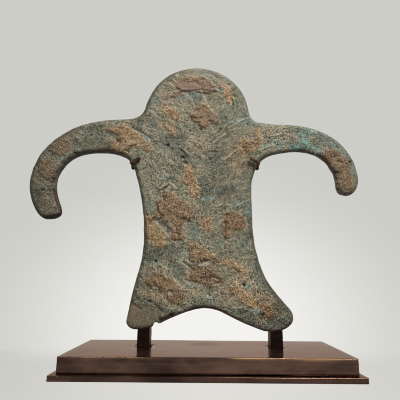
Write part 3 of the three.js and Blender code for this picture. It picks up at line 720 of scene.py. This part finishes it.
def from_line(aside, above, x0, z0, x1, z1):
    """How far places lie from the straight line between two others."""
    wide, tall = x1 - x0, z1 - z0
    along = ((aside - x0) * wide + (above - z0) * tall) / (wide ** 2 + tall ** 2)
    along = np.clip(along, 0, 1)
    return np.hypot(aside - x0 - along * wide, above - z0 - along * tall)


def outlined(marks, most):
    """How far each point lies inside an outline, in millimetres, up to most; below 0 outside."""
    inside = np.full(len(across), float(OUTSIDE))
    for mark in marks:
        corners = np.array(mark)
        low, high = corners.min(0) + OUTSIDE, corners.max(0) - OUTSIDE
        near = (low[0] < across) & (across < high[0]) & (low[1] < up) & (up < high[1])
        near = np.flatnonzero(near & (in_front > 0.5))
        aside, above = (places[near] for places in strayed(1))
        reach, within = np.full(len(near), -float(OUTSIDE)), np.zeros(len(near), bool)
        for (x0, z0), (x1, z1) in zip(corners, np.roll(corners, -1, 0)):
            reach = np.minimum(reach, from_line(aside, above, x0, z0, x1, z1))
            if z0 != z1:
                crossed = (z0 > above) != (z1 > above)
                within ^= crossed & (aside < x0 + (above - z0) * (x1 - x0) / (z1 - z0))
        inside[near] = np.maximum(inside[near], np.where(within, reach, -reach))
    return np.minimum(inside, most)


def spotted(marks, most):
    """The same for round and oval spots."""
    inside = np.full(len(across), float(OUTSIDE))
    strayed_across, strayed_up = strayed(1)
    for middle, height, half_long, half_wide, turn in marks:
        cos, sin = math.cos(math.radians(turn)), math.sin(math.radians(turn))
        aside, above = strayed_across - middle, strayed_up - height
        along, over = cos * aside + sin * above, cos * above - sin * aside
        reach = np.hypot(along / half_long, over / half_wide)
        inside = np.maximum(inside, (1 - reach) * half_wide)
    return np.minimum(np.where(in_front > 0.5, inside, OUTSIDE), most)


def lines(marks, ragged, widen):
    """1 along the marks and 0 a width away; ragged is the share of the straying."""
    aside, above = strayed(ragged)
    inside = np.zeros(len(across))
    for *ends, width in marks:
        reach = from_line(aside, above, *ends) / (widen * width)
        inside = np.maximum(inside, 1 - soft_step(reach, 0.3, 1.2))
    return inside * in_front


def strewn(size, seed, least, most):
    """Patches of the same kind on the back, where noise puts them."""
    spread = grain(figure_at, size, seed) + 0.5 * grain(figure_at, size / 3, seed + 1)
    inside = np.clip((spread - least) * size / MM / 2, OUTSIDE, most)
    return np.where(in_front > 0.5, OUTSIDE, inside)


crust = {
    "tan_earth": np.maximum(outlined(TAN_EARTH, 2.5), strewn(26 * MM, 31, 0.35, 2)),
    "ochre_earth": np.maximum(outlined(OCHRE_EARTH, 3), strewn(24 * MM, 33, 0.8, 2)),
    "golden_crust": outlined(GOLDEN_CRUST, 3.5),
    "brown_crust": np.maximum(outlined(BROWN_CRUST, 3.5), strewn(32 * MM, 35, 0.6, 2.4)),
    "smooth_flake": outlined(SMOOTH_FLAKES, 4),
    "dark_teal": np.maximum(outlined(DARK_TEAL, 3), strewn(22 * MM, 37, 0.4, 1.5)),
    "turquoise": np.maximum(spotted(TURQUOISE_SPOTS, 1.5), strewn(9 * MM, 39, 1.0, 1.5)),
    "bright_spot": spotted(BRIGHT_SPOTS, 1.5),
    "green_wash": outlined(GREEN_WASH, 2),
    "olive_skin": outlined(OLIVE_SKIN, 3),
}
# Tan earth fringes the brown crusts. Outlines crumble, each kind in its own measure, and two
# kinds spread past theirs, in millimetres.
FRINGE = 1.6
CRUMBLE = {
    "bright_spot": 0.3, "smooth_flake": 0.4, "olive_skin": 0.4, "turquoise": 0.6,
    "brown_crust": 0.8, "golden_crust": 0.9,
}
SPREAD = {"brown_crust": 0.9, "ochre_earth": 0.9}
crust["tan_earth"] = np.maximum(crust["tan_earth"], np.minimum(crust["brown_crust"] + FRINGE, 1))
for seed, name in enumerate(crust):
    crumbled = 1.1 * grain(figure_at, 5.5 * MM, 51 + seed)
    crumbled += 1.5 * grain(figure_at, 2.5 * MM, 61 + seed)
    crust[name] += CRUMBLE.get(name, 1) * crumbled + SPREAD.get(name, 0)
crack = lines(CRACKS, 0.4, 1.2)
ridge = lines(RIDGES, 0.4, 1.3)
broken = lines(BROKEN_EDGES, 0.6, 1)
pit, pit_depth = np.zeros(len(across)), np.zeros(len(across))
pit_across, pit_up = strayed(0.4)
for middle, height, radius in PITS:
    reach = np.hypot(pit_across - middle, pit_up - height) / radius
    hole = (1 - soft_step(reach, 0.35, 1.2)) * in_front
    pit = np.maximum(pit, hole)
    pit_depth = np.maximum(pit_depth, 0.75 * radius * hole)

# Hammered folds slant down to the right on the left half and up to the right on the other.
LEFT_SLANT, RIGHT_SLANT = -42, 34
FOLDS_MEET = (-16, 20)


def slanted(turn, seed):
    """Long lumps that lie at a slant."""
    cos, sin = math.cos(math.radians(turn)), math.sin(math.radians(turn))
    along, over = cos * across + sin * up, cos * up - sin * across
    return grain(np.stack([along / 4, over, figure_at[:, 1] / MM], 1) * MM, 3.2 * MM, seed)


right_half = soft_step(across, *FOLDS_MEET)
folds = right_half * slanted(RIGHT_SLANT, 45) + (1 - right_half) * slanted(LEFT_SLANT, 46)


def summed(places):
    """A sum of soft bumps, each given as (across, up, reach, height at its middle)."""
    total = np.zeros(len(across))
    for middle, height, reach, more in places:
        total += more * np.exp(-((across - middle) ** 2 + (up - height) ** 2) / reach ** 2)
    return total


# The surface in millimetres: broad waves, dents, lumps, folds and crumbs, all sunk a little,
# then how high each crust stands and how much its crumbs add. The hooks have pressed it flat
# where they hold.
WAVES, DENTS, LUMPS, FOLDS, CRUMBS = 0.28, 0.42, 0.27, 0.45, 0.12
SUNK, RIDGE_HEIGHT, CRACK_DEPTH, MOST_LIFT = 0.15, 0.55, 0.6, 1.4
RAISED = {
    "tan_earth": (0.18, 0.15), "ochre_earth": (0.45, 0.35), "brown_crust": (0.65, 0.3),
    "golden_crust": (0.55, 0.3), "smooth_flake": (0.05, -0.25), "dark_teal": (-0.15, 0),
    "turquoise": (0.15, 0.1), "olive_skin": (-0.05, -0.1),
}
HOOKED = ((-62, 160, 9.49, 1), (57, 160, 9.49, 1))
crumbs = grain(figure_at, 2.3 * MM, 41)
smooth = np.maximum(soft_step(crust["smooth_flake"], -1, 1), soft_step(crust["olive_skin"], -1, 1))
lift = WAVES * grain(figure_at, 34 * MM, 42)
lift += DENTS * grain(figure_at, 12 * MM, 43) * (1 - 0.6 * smooth)
lift += (LUMPS * grain(figure_at, 6.5 * MM, 44) + FOLDS * folds) * (1 - 0.85 * smooth)
lift += CRUMBS * crumbs - SUNK
for name, (height, crumby) in RAISED.items():
    lift += soft_step(crust[name], -0.4, 0.5) * (height + crumby * crumbs)
lift += RIDGE_HEIGHT * ridge - CRACK_DEPTH * crack
hooked = np.clip(summed(HOOKED), 0, 1)
lift = np.minimum(lift, MOST_LIFT - 1.2 * hooked) * (1 - 0.6 * hooked)
lift *= 0.35 + 0.65 * soft_step(flatness, 0.2, 0.8)

# The rim is rounded by wear: near it the front and the back fall away, least at the soles and
# at the end of the right arm.
RIM_REACH, RIM_FALL = 3.2, 1.0
LESS_WORN = ((143, 131, 12.25, 0.8),)
sides = figure_at[flatness < 0.45]
rim_tree = KDTree(len(sides))
for k, at in enumerate(sides):
    rim_tree.insert(at, k)
rim_tree.balance()
to_rim = np.array([rim_tree.find(at)[0] for at in figure_at]) - figure_at
from_rim = np.hypot(*to_rim[:, [0, 2]].T) / MM
near_rim = np.clip(1 - from_rim / RIM_REACH, 0, 1)
worn = soft_step(up, 3, 14) * (1 - summed(LESS_WORN))
lift -= pit_depth + RIM_FALL * worn * near_rim ** 2 * flatness

# Corrosion swells the rim, most along its top, and least under the arms. Each entry gives a place
# (across, up), a reach and how much more it swells there, in millimetres.
RIM_SWELL, TOP_SWELL, SOLE_SWELL = 0.3, 0.4, 0.3
SWOLLEN = (
    (-30, 258, 16, 0.4), (42, 243, 14, 0.2), (-130, 165, 24, 0.4), (100, 174, 32, -0.6),
    (138, 145, 16, -0.5), (-136, 121, 12, -0.6), (56, 150, 12, -0.8), (-54, 122, 16, -0.4),
    (-48, 236, 12, -0.7), (19, 20, 12, -0.4),
)
swell = RIM_SWELL + TOP_SWELL * soft_step(figure_out[:, 2], 0.1, 0.6) + summed(SWOLLEN)
swell += SOLE_SWELL * (1 - soft_step(up, 0, 6))
lift += swell * (1 - hooked) * (1 - flatness ** 2)

# The inner side of the right arm slopes: its front edge stands further in than its back edge.
BEND_ACROSS, BEND_UP, SLOPE, SLOPE_REACH = 98, 141, 1.9, 7
BROKEN_DEPTH = 1.5
inward = np.stack([BEND_ACROSS - across, BEND_UP - up], 1)
from_bend = np.hypot(*inward.T)
slope = SLOPE * (1 - soft_step(from_bend, 44, 54)) * soft_step(across, 66, 82)
slope *= np.clip(1 - from_rim / SLOPE_REACH, 0, 1) * np.clip(-figure_at[:, 1] / (10 * MM), 0, 1)
figure_at[:, [0, 2]] += inward * (slope / from_bend)[:, None] * MM
figure_at += figure_out * lift[:, None] * MM
figure_at[:, 1] += broken * BROKEN_DEPTH * MM
set_points(figure_mesh, figure_at)
for name, values in crust.items():
    carry(figure_mesh, name, values)

# Places (across, up) with a reach, in millimetres, where the surface is coarser or finer, and
# then where it is paler or darker.
COARSE = (
    (0, 218, 20, 0.5), (0, 246, 24, 0.15), (-46, 182, 8, 0.5), (-20, 172, 8, 0.6),
    (-32, 98, 14, 0.6), (3, 55, 18, 0.4), (52, 45, 16, 0.4), (-146, 185, 10, 0.3),
    (-156, 155, 14, 0.3), (140, 145, 14, 0.5), (80, 190, 14, 0.3), (40, 160, 26, -0.35),
    (42, 130, 20, -0.3), (-98, 188, 20, -0.3), (105, 182, 18, -0.4), (-45, 40, 18, -0.25),
    (40, 85, 14, -0.25),
)
PALER = (
    (-162, 142, 12, -0.16), (-148, 126, 12, -0.12), (-131, 188, 10, -0.15), (-97, 179, 10, -0.14),
    (-147, 149, 11, 0.22), (-137, 176, 10, 0.14), (-97, 197, 13, 0.1), (-27, 211, 9, -0.12),
    (3, 254, 16, 0.16), (-4, 230, 26, 0.05), (-5, 213, 11, 0.1), (35, 180, 20, -0.08),
    (1, 166, 9, -0.14), (20, 146, 12, -0.14), (-23, 140, 9, -0.14), (-29, 159, 9, -0.1),
    (25, 124, 12, -0.15), (50, 160, 10, -0.14), (-21, 175, 10, 0.34), (-51, 189, 11, 0.18),
    (-43, 120, 10, 0.16), (-37, 96, 12, 0.16), (-28, 74, 9, -0.12), (-2, 91, 9, -0.12),
    (48, 95, 13, -0.12), (-45, 86, 9, -0.1), (51, 67, 10, -0.1), (-35, 46, 11, -0.16),
    (-54, 35, 14, -0.12), (-5, 67, 14, 0.2), (48, 52, 13, 0.24), (44, 38, 12, 0.12),
    (51, 19, 11, 0.14), (73, 22, 15, -0.3), (-17, 44, 12, 0.16), (8, 30, 13, 0.14),
    (-37, 59, 10, 0.06), (-155, 120, 14, -0.1), (82, 192, 15, 0.08), (119, 180, 12, -0.12),
    (147, 153, 12, 0.2), (-60, 207, 11, -0.18), (-142, 150, 9, 0.14), (-6, 60, 10, 0.15),
    (-164, 140, 10, -0.2), (-48, 226, 11, -0.15), (23, 190, 11, -0.12), (-134, 165, 9, 0.2),
    (-46, 87, 10, -0.14), (59, 9, 10, -0.15), (34, 45, 10, -0.12), (-21, 161, 9, -0.12),
)
carry(figure_mesh, "coarse", np.clip(0.55 + summed(COARSE), 0.15, 1.2))
carry(figure_mesh, "paler", 1.4 * summed(PALER) * in_front)
carry(figure_mesh, "ridge", ridge)
carry(figure_mesh, "broken", broken)
carry(figure_mesh, "crack", crack)
carry(figure_mesh, "pit", pit)

# Painted shade, with some grime, darkens the rim: most where it faces sideways or down and to the
# left, away from the high lamp. Each entry gives a place (across, up), a reach and how much darker
# or lighter the rim is there.
RIM_SHADE_REACH = 6
RIM_SHADE_AND_GRIME = (
    (-30, 252, 22, 0.7), (-52, 226, 14, 1.2), (-138, 190, 24, 1.3), (-165, 150, 20, 0.9),
    (-8, 266, 14, 0.6), (40, 245, 12, 0.5), (80, 172, 14, -0.6), (82, 25, 16, 0.9),
    (70, 42, 14, 0.5), (58, 68, 16, 0.5), (54, 88, 12, 0.3), (-60, 40, 14, 0.3),
    (-20, 12, 18, -0.7), (-52, 3, 20, -1.0), (33, 12, 16, -0.5), (62, 2, 18, -0.7),
    (54, 125, 16, -0.5), (-57, 140, 10, -0.5), (112, 173, 18, -0.7), (141, 135, 14, -0.9),
    (-70, 166, 12, -0.5), (52, 212, 12, -0.5), (-51, 107, 10, -0.5), (-64, 14, 8, -0.4),
)
facing = to_rim / np.maximum(np.linalg.norm(to_rim, axis=1), 0.1 * MM)[:, None]
rim_shade_and_grime = 1 - 0.75 * soft_step(facing[:, 2], 0, 0.7) + 0.5 * soft_step(-facing[:, 0], 0, 0.7)
darker_rim = summed(RIM_SHADE_AND_GRIME)
rim_shade_and_grime = np.clip(rim_shade_and_grime + darker_rim, 0, 2) * np.clip(1 - from_rim / RIM_SHADE_REACH, 0, 1)
on_side = soft_step(1 - flatness, 0.25, 0.8) * np.clip(1 + darker_rim, 0.2, 1.3)
carry(figure_mesh, "rim", np.maximum(on_side, rim_shade_and_grime))

weathered_copper, tree = new_finish("weathered_copper")


def along_axis(axis, start, end):
    """A fade between two places, in millimetres across from the axis or up from the soles."""
    place = tree.node("ShaderNodeSeparateXYZ", {}, {"Vector": tree.where()}, axis)
    zero = FIGURE_AXIS if axis == "X" else SOLE_LEVEL
    return place.fade((zero + start) * MM, (zero + end) * MM)


zone = tree.cloud(15 * MM, 3, seed=9).fade(0.38, 0.62)
speck = 0.5 + (tree.cloud(2.4 * MM, 3, seed=1) - 0.5) * (0.45 + zone)
mottle = tree.cloud(7 * MM, 4, seed=2)
drift = tree.cloud(26 * MM, 3, seed=3)
sandy = tree.cloud(12 * MM, 3, seed=11).fade(0.38, 0.62)
pimple = tree.cloud(1.1 * MM, 1, seed=12)
right_side = along_axis("X", *FOLDS_MEET)
chest = along_axis("Z", 60, 130)
bends = {"Vector": tree.where(), "Scale": 1 / (16 * MM)}
bends = tree.node("ShaderNodeTexNoise", {}, bends, "Color")
bends = {0: bends, 1: (9 * MM, 9 * MM, 9 * MM), 2: tree.where()}
curved = tree.node("ShaderNodeVectorMath", {"operation": "MULTIPLY_ADD"}, bends)


def strokes(width, spread, seed):
    """Short scraper marks that follow the hammered folds."""
    left, right = (
        tree.cloud(width, 2, (7, 1, 1), math.radians(spread - slant), seed=seed, at=curved)
        for slant in (LEFT_SLANT, RIGHT_SLANT)
    )
    return right_side * right + (1 - right_side) * left


def grit(size, seed):
    """Scattered grains: how far the nearest one is, and a number of its own for each."""
    laid = {"Vector": tree.where(), "Location": (seed, seed, seed)}
    laid = tree.node("ShaderNodeMapping", {}, laid)
    spread = {"Vector": laid, "Scale": 1 / size}
    lot = tree.node("ShaderNodeTexVoronoi", {}, spread, "Color")
    lot = tree.node("ShaderNodeSeparateColor", {}, {"Color": lot}, "Red")
    return tree.node("ShaderNodeTexVoronoi", {}, spread, "Distance"), lot


def covered(name, soft, ragged=1):
    """Where a crust covers the ground, its outline roughened by the finest noise."""
    frayed = ragged * (1.4 * fine + 2.5 * speck + 4.5 * mottle + 5 * scraped - 6.7)
    return (tree.mask(name) + frayed).fade(-soft, soft)


def around(name, start, end):
    """A soft mask that reaches past the outline of a crust."""
    return (tree.mask(name) + 6).fade(start, end)


gap, lot = grit(1.7 * MM, 7)
grain_gap, grain_lot = grit(0.5 * MM, 8)
coarse = tree.mask("coarse") * (0.7 + 0.6 * sandy)
paler = tree.mask("paler")
fine = 0.5 + (tree.cloud(0.65 * MM, 2, rough=0.6) - 0.5) * (0.3 + 1.4 * coarse)
fine = fine + (grain_lot - 0.5) * (0.4 + 2.0 * coarse)
smoothness = around("smooth_flake", 5, 8) + around("olive_skin", 5, 8)
bare = 1 - 0.8 * smoothness
earthy = around("ochre_earth", 4, 8) + around("brown_crust", 4, 8)
scraped = 0.5 * strokes(0.8 * MM, 4, 5) + 0.5 * strokes(1.5 * MM, -6, 6)
deep = (0.5 + 0.9 * zone) * (0.6 + 0.5 * chest) * (1 - 0.85 * smoothness)
scraped = 0.5 + (scraped - 0.5) * deep
gritty = 1.8 * fine + 0.5 * speck + 0.8 * mottle + 0.7 * scraped + paler - 1.45
worked = 1.4 * fine + 1.6 * scraped + 0.4 * speck + 0.9 * mottle + 0.5 * drift + paler - 1.935

# The bare patina and the dust on it, from dark to light, then the layers over it, the lowest
# first: how soft the outline is, how much covers, and the colours from dark to light.
PATINA = ((52, 54, 39), (81, 84, 66), (107, 110, 90), (132, 134, 112), (167, 166, 142))
DUST = ((85, 70, 47), (128, 107, 77), (155, 134, 103), (182, 164, 137))
LAYERS = (
    ("green_wash", 2.2, 0.55, ((52, 66, 56), (80, 98, 85), (102, 121, 107), (136, 153, 141))),
    ("dark_teal", 2.4, 0.6, ((40, 46, 38), (60, 69, 57), (80, 88, 76), (107, 114, 103))),
    ("tan_earth", 3.2, 0.62, ((82, 67, 43), (130, 109, 77), (161, 140, 107), (192, 174, 145))),
    ("olive_skin", 1.6, 0.82, ((69, 63, 46), (89, 82, 60), (102, 94, 72), (119, 112, 92))),
    ("ochre_earth", 2.4, 0.9, ((84, 58, 25), (139, 104, 61), (173, 136, 90), (204, 173, 132))),
    ("brown_crust", 1.3, 0.93, ((61, 40, 15), (111, 81, 48), (140, 108, 73), (172, 145, 112))),
    ("golden_crust", 1.3, 0.92, ((80, 56, 28), (132, 100, 63), (156, 123, 84), (184, 157, 123))),
    ("smooth_flake", 0.8, 0.86, ((76, 54, 39), (114, 87, 67), (130, 102, 81), (156, 132, 113))),
    ("turquoise", 1.3, 0.6, ((68, 85, 75), (94, 116, 104), (119, 142, 129), (163, 183, 172))),
    ("bright_spot", 0.7, 0.85, ((89, 111, 100), (112, 142, 127), (130, 162, 146), (164, 191, 177))),
)
# How flat a layer's own colours are, how ragged its outline, and how high it stands.
CALM = {"smooth_flake": 0.6, "olive_skin": 0.5, "bright_spot": 0.5}
RAGGED = {
    "smooth_flake": 0.9, "olive_skin": 0.7, "bright_spot": 0.5, "ochre_earth": 0.8,
    "brown_crust": 0.85,
}
STANDING = {
    "brown_crust": 0.32, "golden_crust": 0.28, "ochre_earth": 0.28, "tan_earth": 0.12,
    "smooth_flake": 0.08, "bright_spot": 0.15, "dark_teal": -0.2,
}
colour = worked.shades(*PATINA)
dust = (0.9 * drift + 1.1 * mottle + 0.3 * fine).fade(1.0, 1.4)
colour = (0.5 * dust).blend(colour, gritty.shades(*DUST))
standing = 0
for name, soft, share, shades in LAYERS:
    coated = (0.5 + CALM.get(name, 1) * (gritty - 0.5)).shades(*shades)
    coat = covered(name, soft, RAGGED.get(name, 1))
    colour = (share * coat).blend(colour, coated)
    if name in STANDING:
        standing = STANDING[name] * coat + standing
ruddy = (tree.mask("olive_skin") + 1).fade(0, 3) * tree.cloud(9 * MM, 2, seed=21).fade(0.45, 0.62)
pale_grain = grain_gap.fade(0.42, 0.2) * (grain_lot - 0.9 + 0.16 * earthy).fade(0, 0.05) * bare
dark_grain = grain_gap.fade(0.6, 0.3) * (0.2 + 0.12 * earthy - grain_lot).fade(0, 0.06) * bare
dotted = 0.09 + 0.2 * (1 - zone) + 0.32 * earthy + 0.2 * covered("dark_teal", 2.4)
dark_dot = gap.fade(0.44, 0.22) * (lot - 1 + dotted).fade(0, 0.05) * bare
# Stains, grains, marks and painted shade over the layers, in the order in which they lie: where,
# how much of the colour below they hide, and their own.
MARKS = (
    (ruddy, 0.35, (116, 91, 71)),
    # Partly browner patina, partly painted shade: the left arm turns browner and darker towards its
    # end.
    (along_axis("X", -66, -100), 0.36, (82, 72, 56)),
    (along_axis("X", 120, 150), 0.3, (82, 68, 55)),
    # Painted shade in part: the far end of the left arm is darker still.
    (along_axis("X", -120, -165), 0.3, (54, 50, 40)),
    # Painted shade: the colour darkens towards the soles.
    (along_axis("Z", 22, 6), 0.12, (62, 58, 45)),
    (pale_grain, 0.55, (180, 168, 143)),
    ((tree.mask("ridge") + 0.25 * (fine - 0.5)).fade(0.25, 0.75), 0.72, (168, 163, 139)),
    (dark_dot, 0.75, (45, 37, 26)),
    (dark_grain, 0.65, (50, 43, 32)),
    # Painted shade, with some grime, on the rim and the sides: darkest where they face down or to
    # the left.
    ((tree.mask("rim") + 1.2 * (speck - 0.5)).fade(0.3, 1.0), 0.62, (54, 47, 37)),
    ((tree.mask("broken") + 1.2 * (speck - 0.5)).fade(0.4, 0.8), 0.8, (54, 36, 28)),
    # Dark lines: partly real cracks, partly painted shadow under the lower edges of raised crusts.
    ((tree.mask("crack") + 0.4 * (fine - 0.5)).fade(0.35, 0.8), 0.82, (50, 39, 31)),
    ((tree.mask("pit") + 0.3 * (fine - 0.5)).fade(0.35, 0.75), 1, (22, 24, 22)),
)
for mark, share, shade in MARKS:
    colour = (share * mark).blend(colour, tone(*shade))
grains = (0.4 + 0.6 * grain_lot) * grain_gap.fade(0.6, 0.1)
relief = 0.7 * (0.4 + coarse) * pimple + 0.3 * speck + 0.1 * grains
relief = (1 - 0.6 * smoothness) * relief + 0.7 * scraped
relief = relief + standing + 0.15 * pale_grain - 0.3 * dark_dot
close_finish(tree, {
    "Base Color": colour,
    "Roughness": 0.92 - 0.22 * smoothness - 0.2 * fine,
    "Metallic": 0.0,
    "Specular IOR Level": 0.35,
    "Normal": bumped(tree, relief, 1.1 * MM),
})

figure = new_piece("copper_figure", figure_mesh, weathered_copper)
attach(figure, "root")
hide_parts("figure")


# Studio. A pale floor that sweeps up into a backdrop all round. Both glow by themselves, a painted
# pool of light brightest low behind the object, and near the object the floor is half matt. One
# soft lamp stands high to the right in front, a weak one to the left and one behind that lights the
# object alone.

FLOOR_RINGS = (0.08, 0.16, 0.24, 0.32, 0.4, 0.5, 0.6, 0.72, 0.86, 1.02, 1.2, 1.4, 1.6)
WALL_RINGS = (
    (1.8, 0.03), (2.0, 0.1), (2.2, 0.24), (2.35, 0.44), (2.45, 0.7), (2.5, 1), (2.5, 1.4), (2.5, 2),
    (2.5, 2.8),
)
STEPS = 128
# The glow on the backdrop is an oval as seen from one place in front: its width against its
# height, how far its middle lies below that place and where it fades, in degrees.
GLOW_FROM = (0, -0.4, 0.08)
GLOW_WIDE, GLOW_SINK, GLOW_FADE = 1.35, 5.7, (4, 24)

turns = [2 * math.pi * k / STEPS for k in range(STEPS)]
sweep_bm = bmesh.new()
rings = []
for reach, height in [(r, 0) for r in FLOOR_RINGS] + list(WALL_RINGS):
    round_it = [(reach * math.cos(t), reach * math.sin(t), height) for t in turns]
    rings.append([sweep_bm.verts.new(at) for at in round_it])
sweep_bm.faces.new(rings[0])
for inner, outer in zip(rings, rings[1:]):
    for k in range(STEPS):
        j = (k + 1) % STEPS
        sweep_bm.faces.new((inner[k], outer[k], outer[j], inner[j]))
sweep_mesh = bpy.data.meshes.new("sweep")
sweep_bm.to_mesh(sweep_mesh)
sweep_bm.free()
sweep_at = points_of(sweep_mesh)
set_points(sweep_mesh, sweep_at)
seen = sweep_at - GLOW_FROM
bearing = np.degrees(np.arctan2(seen[:, 0], seen[:, 1]))
pitch = np.degrees(np.arctan2(seen[:, 2], np.hypot(seen[:, 0], seen[:, 1])))
from_glow = np.hypot(bearing / GLOW_WIDE, pitch + GLOW_SINK)
carry(sweep_mesh, "glow", 1 - soft_step(from_glow, *GLOW_FADE))
glowing_paper, tree = new_finish("glowing_paper")
shine = tree.node("ShaderNodeBsdfPrincipled", {}, {
    "Base Color": (0, 0, 0, 1),
    "Specular IOR Level": 0,
    "Emission Color": tree.mask("glow").blend(tone(205, 205, 200), tone(243, 242, 238)),
    "Emission Strength": 1,
})
matt = tree.node("ShaderNodeBsdfDiffuse", {}, {"Color": tone(176, 175, 171)})
reach = tree.node("ShaderNodeVectorMath", {"operation": "LENGTH"}, {0: tree.where()}, "Value")
far = reach.fade(0.2, 0.6)
behind = tree.node("ShaderNodeSeparateXYZ", {}, {"Vector": tree.where()}, "Y").fade(0, 0.12)
shining = 0.5 + 0.5 * (far + behind - far * behind)
paper = tree.node("ShaderNodeMixShader", {}, {0: shining, 1: matt, 2: shine})
tree.node("ShaderNodeOutputMaterial", {}, {"Surface": paper})
sweep = bpy.data.objects.new("floor_sweep", sweep_mesh)
sweep_mesh.materials.append(glowing_paper)
sweep.visible_diffuse = False
bpy.context.scene.collection.objects.link(sweep)


LAMP_TARGET = (0, 0, 0.15)


def lamp(name, place, size, watts):
    data = bpy.data.lights.new(name, "AREA")
    data.shape, data.size, data.energy = "DISK", size, watts
    made = bpy.data.objects.new(name, data)
    made.location = place
    aim = Vector(LAMP_TARGET) - Vector(place)
    made.rotation_euler = aim.to_track_quat("-Z", "Y").to_euler()
    bpy.context.scene.collection.objects.link(made)
    return made


lamp("high_lamp", (0.48, -0.82, 1.5), 0.4, 43)
lamp("left_lamp", (-1.1, -0.6, 0.5), 0.7, 1.5)
back_lamp = lamp("back_lamp", (-0.5, 0.9, 1.5), 0.6, 26)
lit_behind = bpy.data.collections.new("lit_behind")
for piece in (plate, block, *posts, figure):
    lit_behind.objects.link(piece)
back_lamp.light_linking.receiver_collection = lit_behind
world = bpy.data.worlds.new("room")
world.use_nodes = True
background = world.node_tree.nodes["Background"].inputs
background["Color"].default_value = (1, 1, 1, 1)
background["Strength"].default_value = 0.18
bpy.context.scene.world = world
bpy.context.scene.view_settings.view_transform = "Standard"
bpy.context.scene.cycles.filter_width = 1.0

CAMERA_PLACE = (-0.0039, -0.3975, 0.0767)
CAMERA_TIP, CAMERA_SWING, CAMERA_ROLL = 90 + 11.90, 0.4625, 0.35
camera_data = bpy.data.cameras.new("camera")
camera_data.sensor_width, camera_data.lens = 36, 36
camera_data.clip_start = 0.01
camera = bpy.data.objects.new("camera", camera_data)
aim = Euler((math.radians(CAMERA_TIP), 0, math.radians(CAMERA_SWING))).to_matrix()
aim = aim @ Matrix.Rotation(math.radians(CAMERA_ROLL), 3, "Z")
camera.matrix_world = Matrix.Translation(CAMERA_PLACE) @ aim.to_4x4()
bpy.context.scene.collection.objects.link(camera)
bpy.context.scene.camera = camera
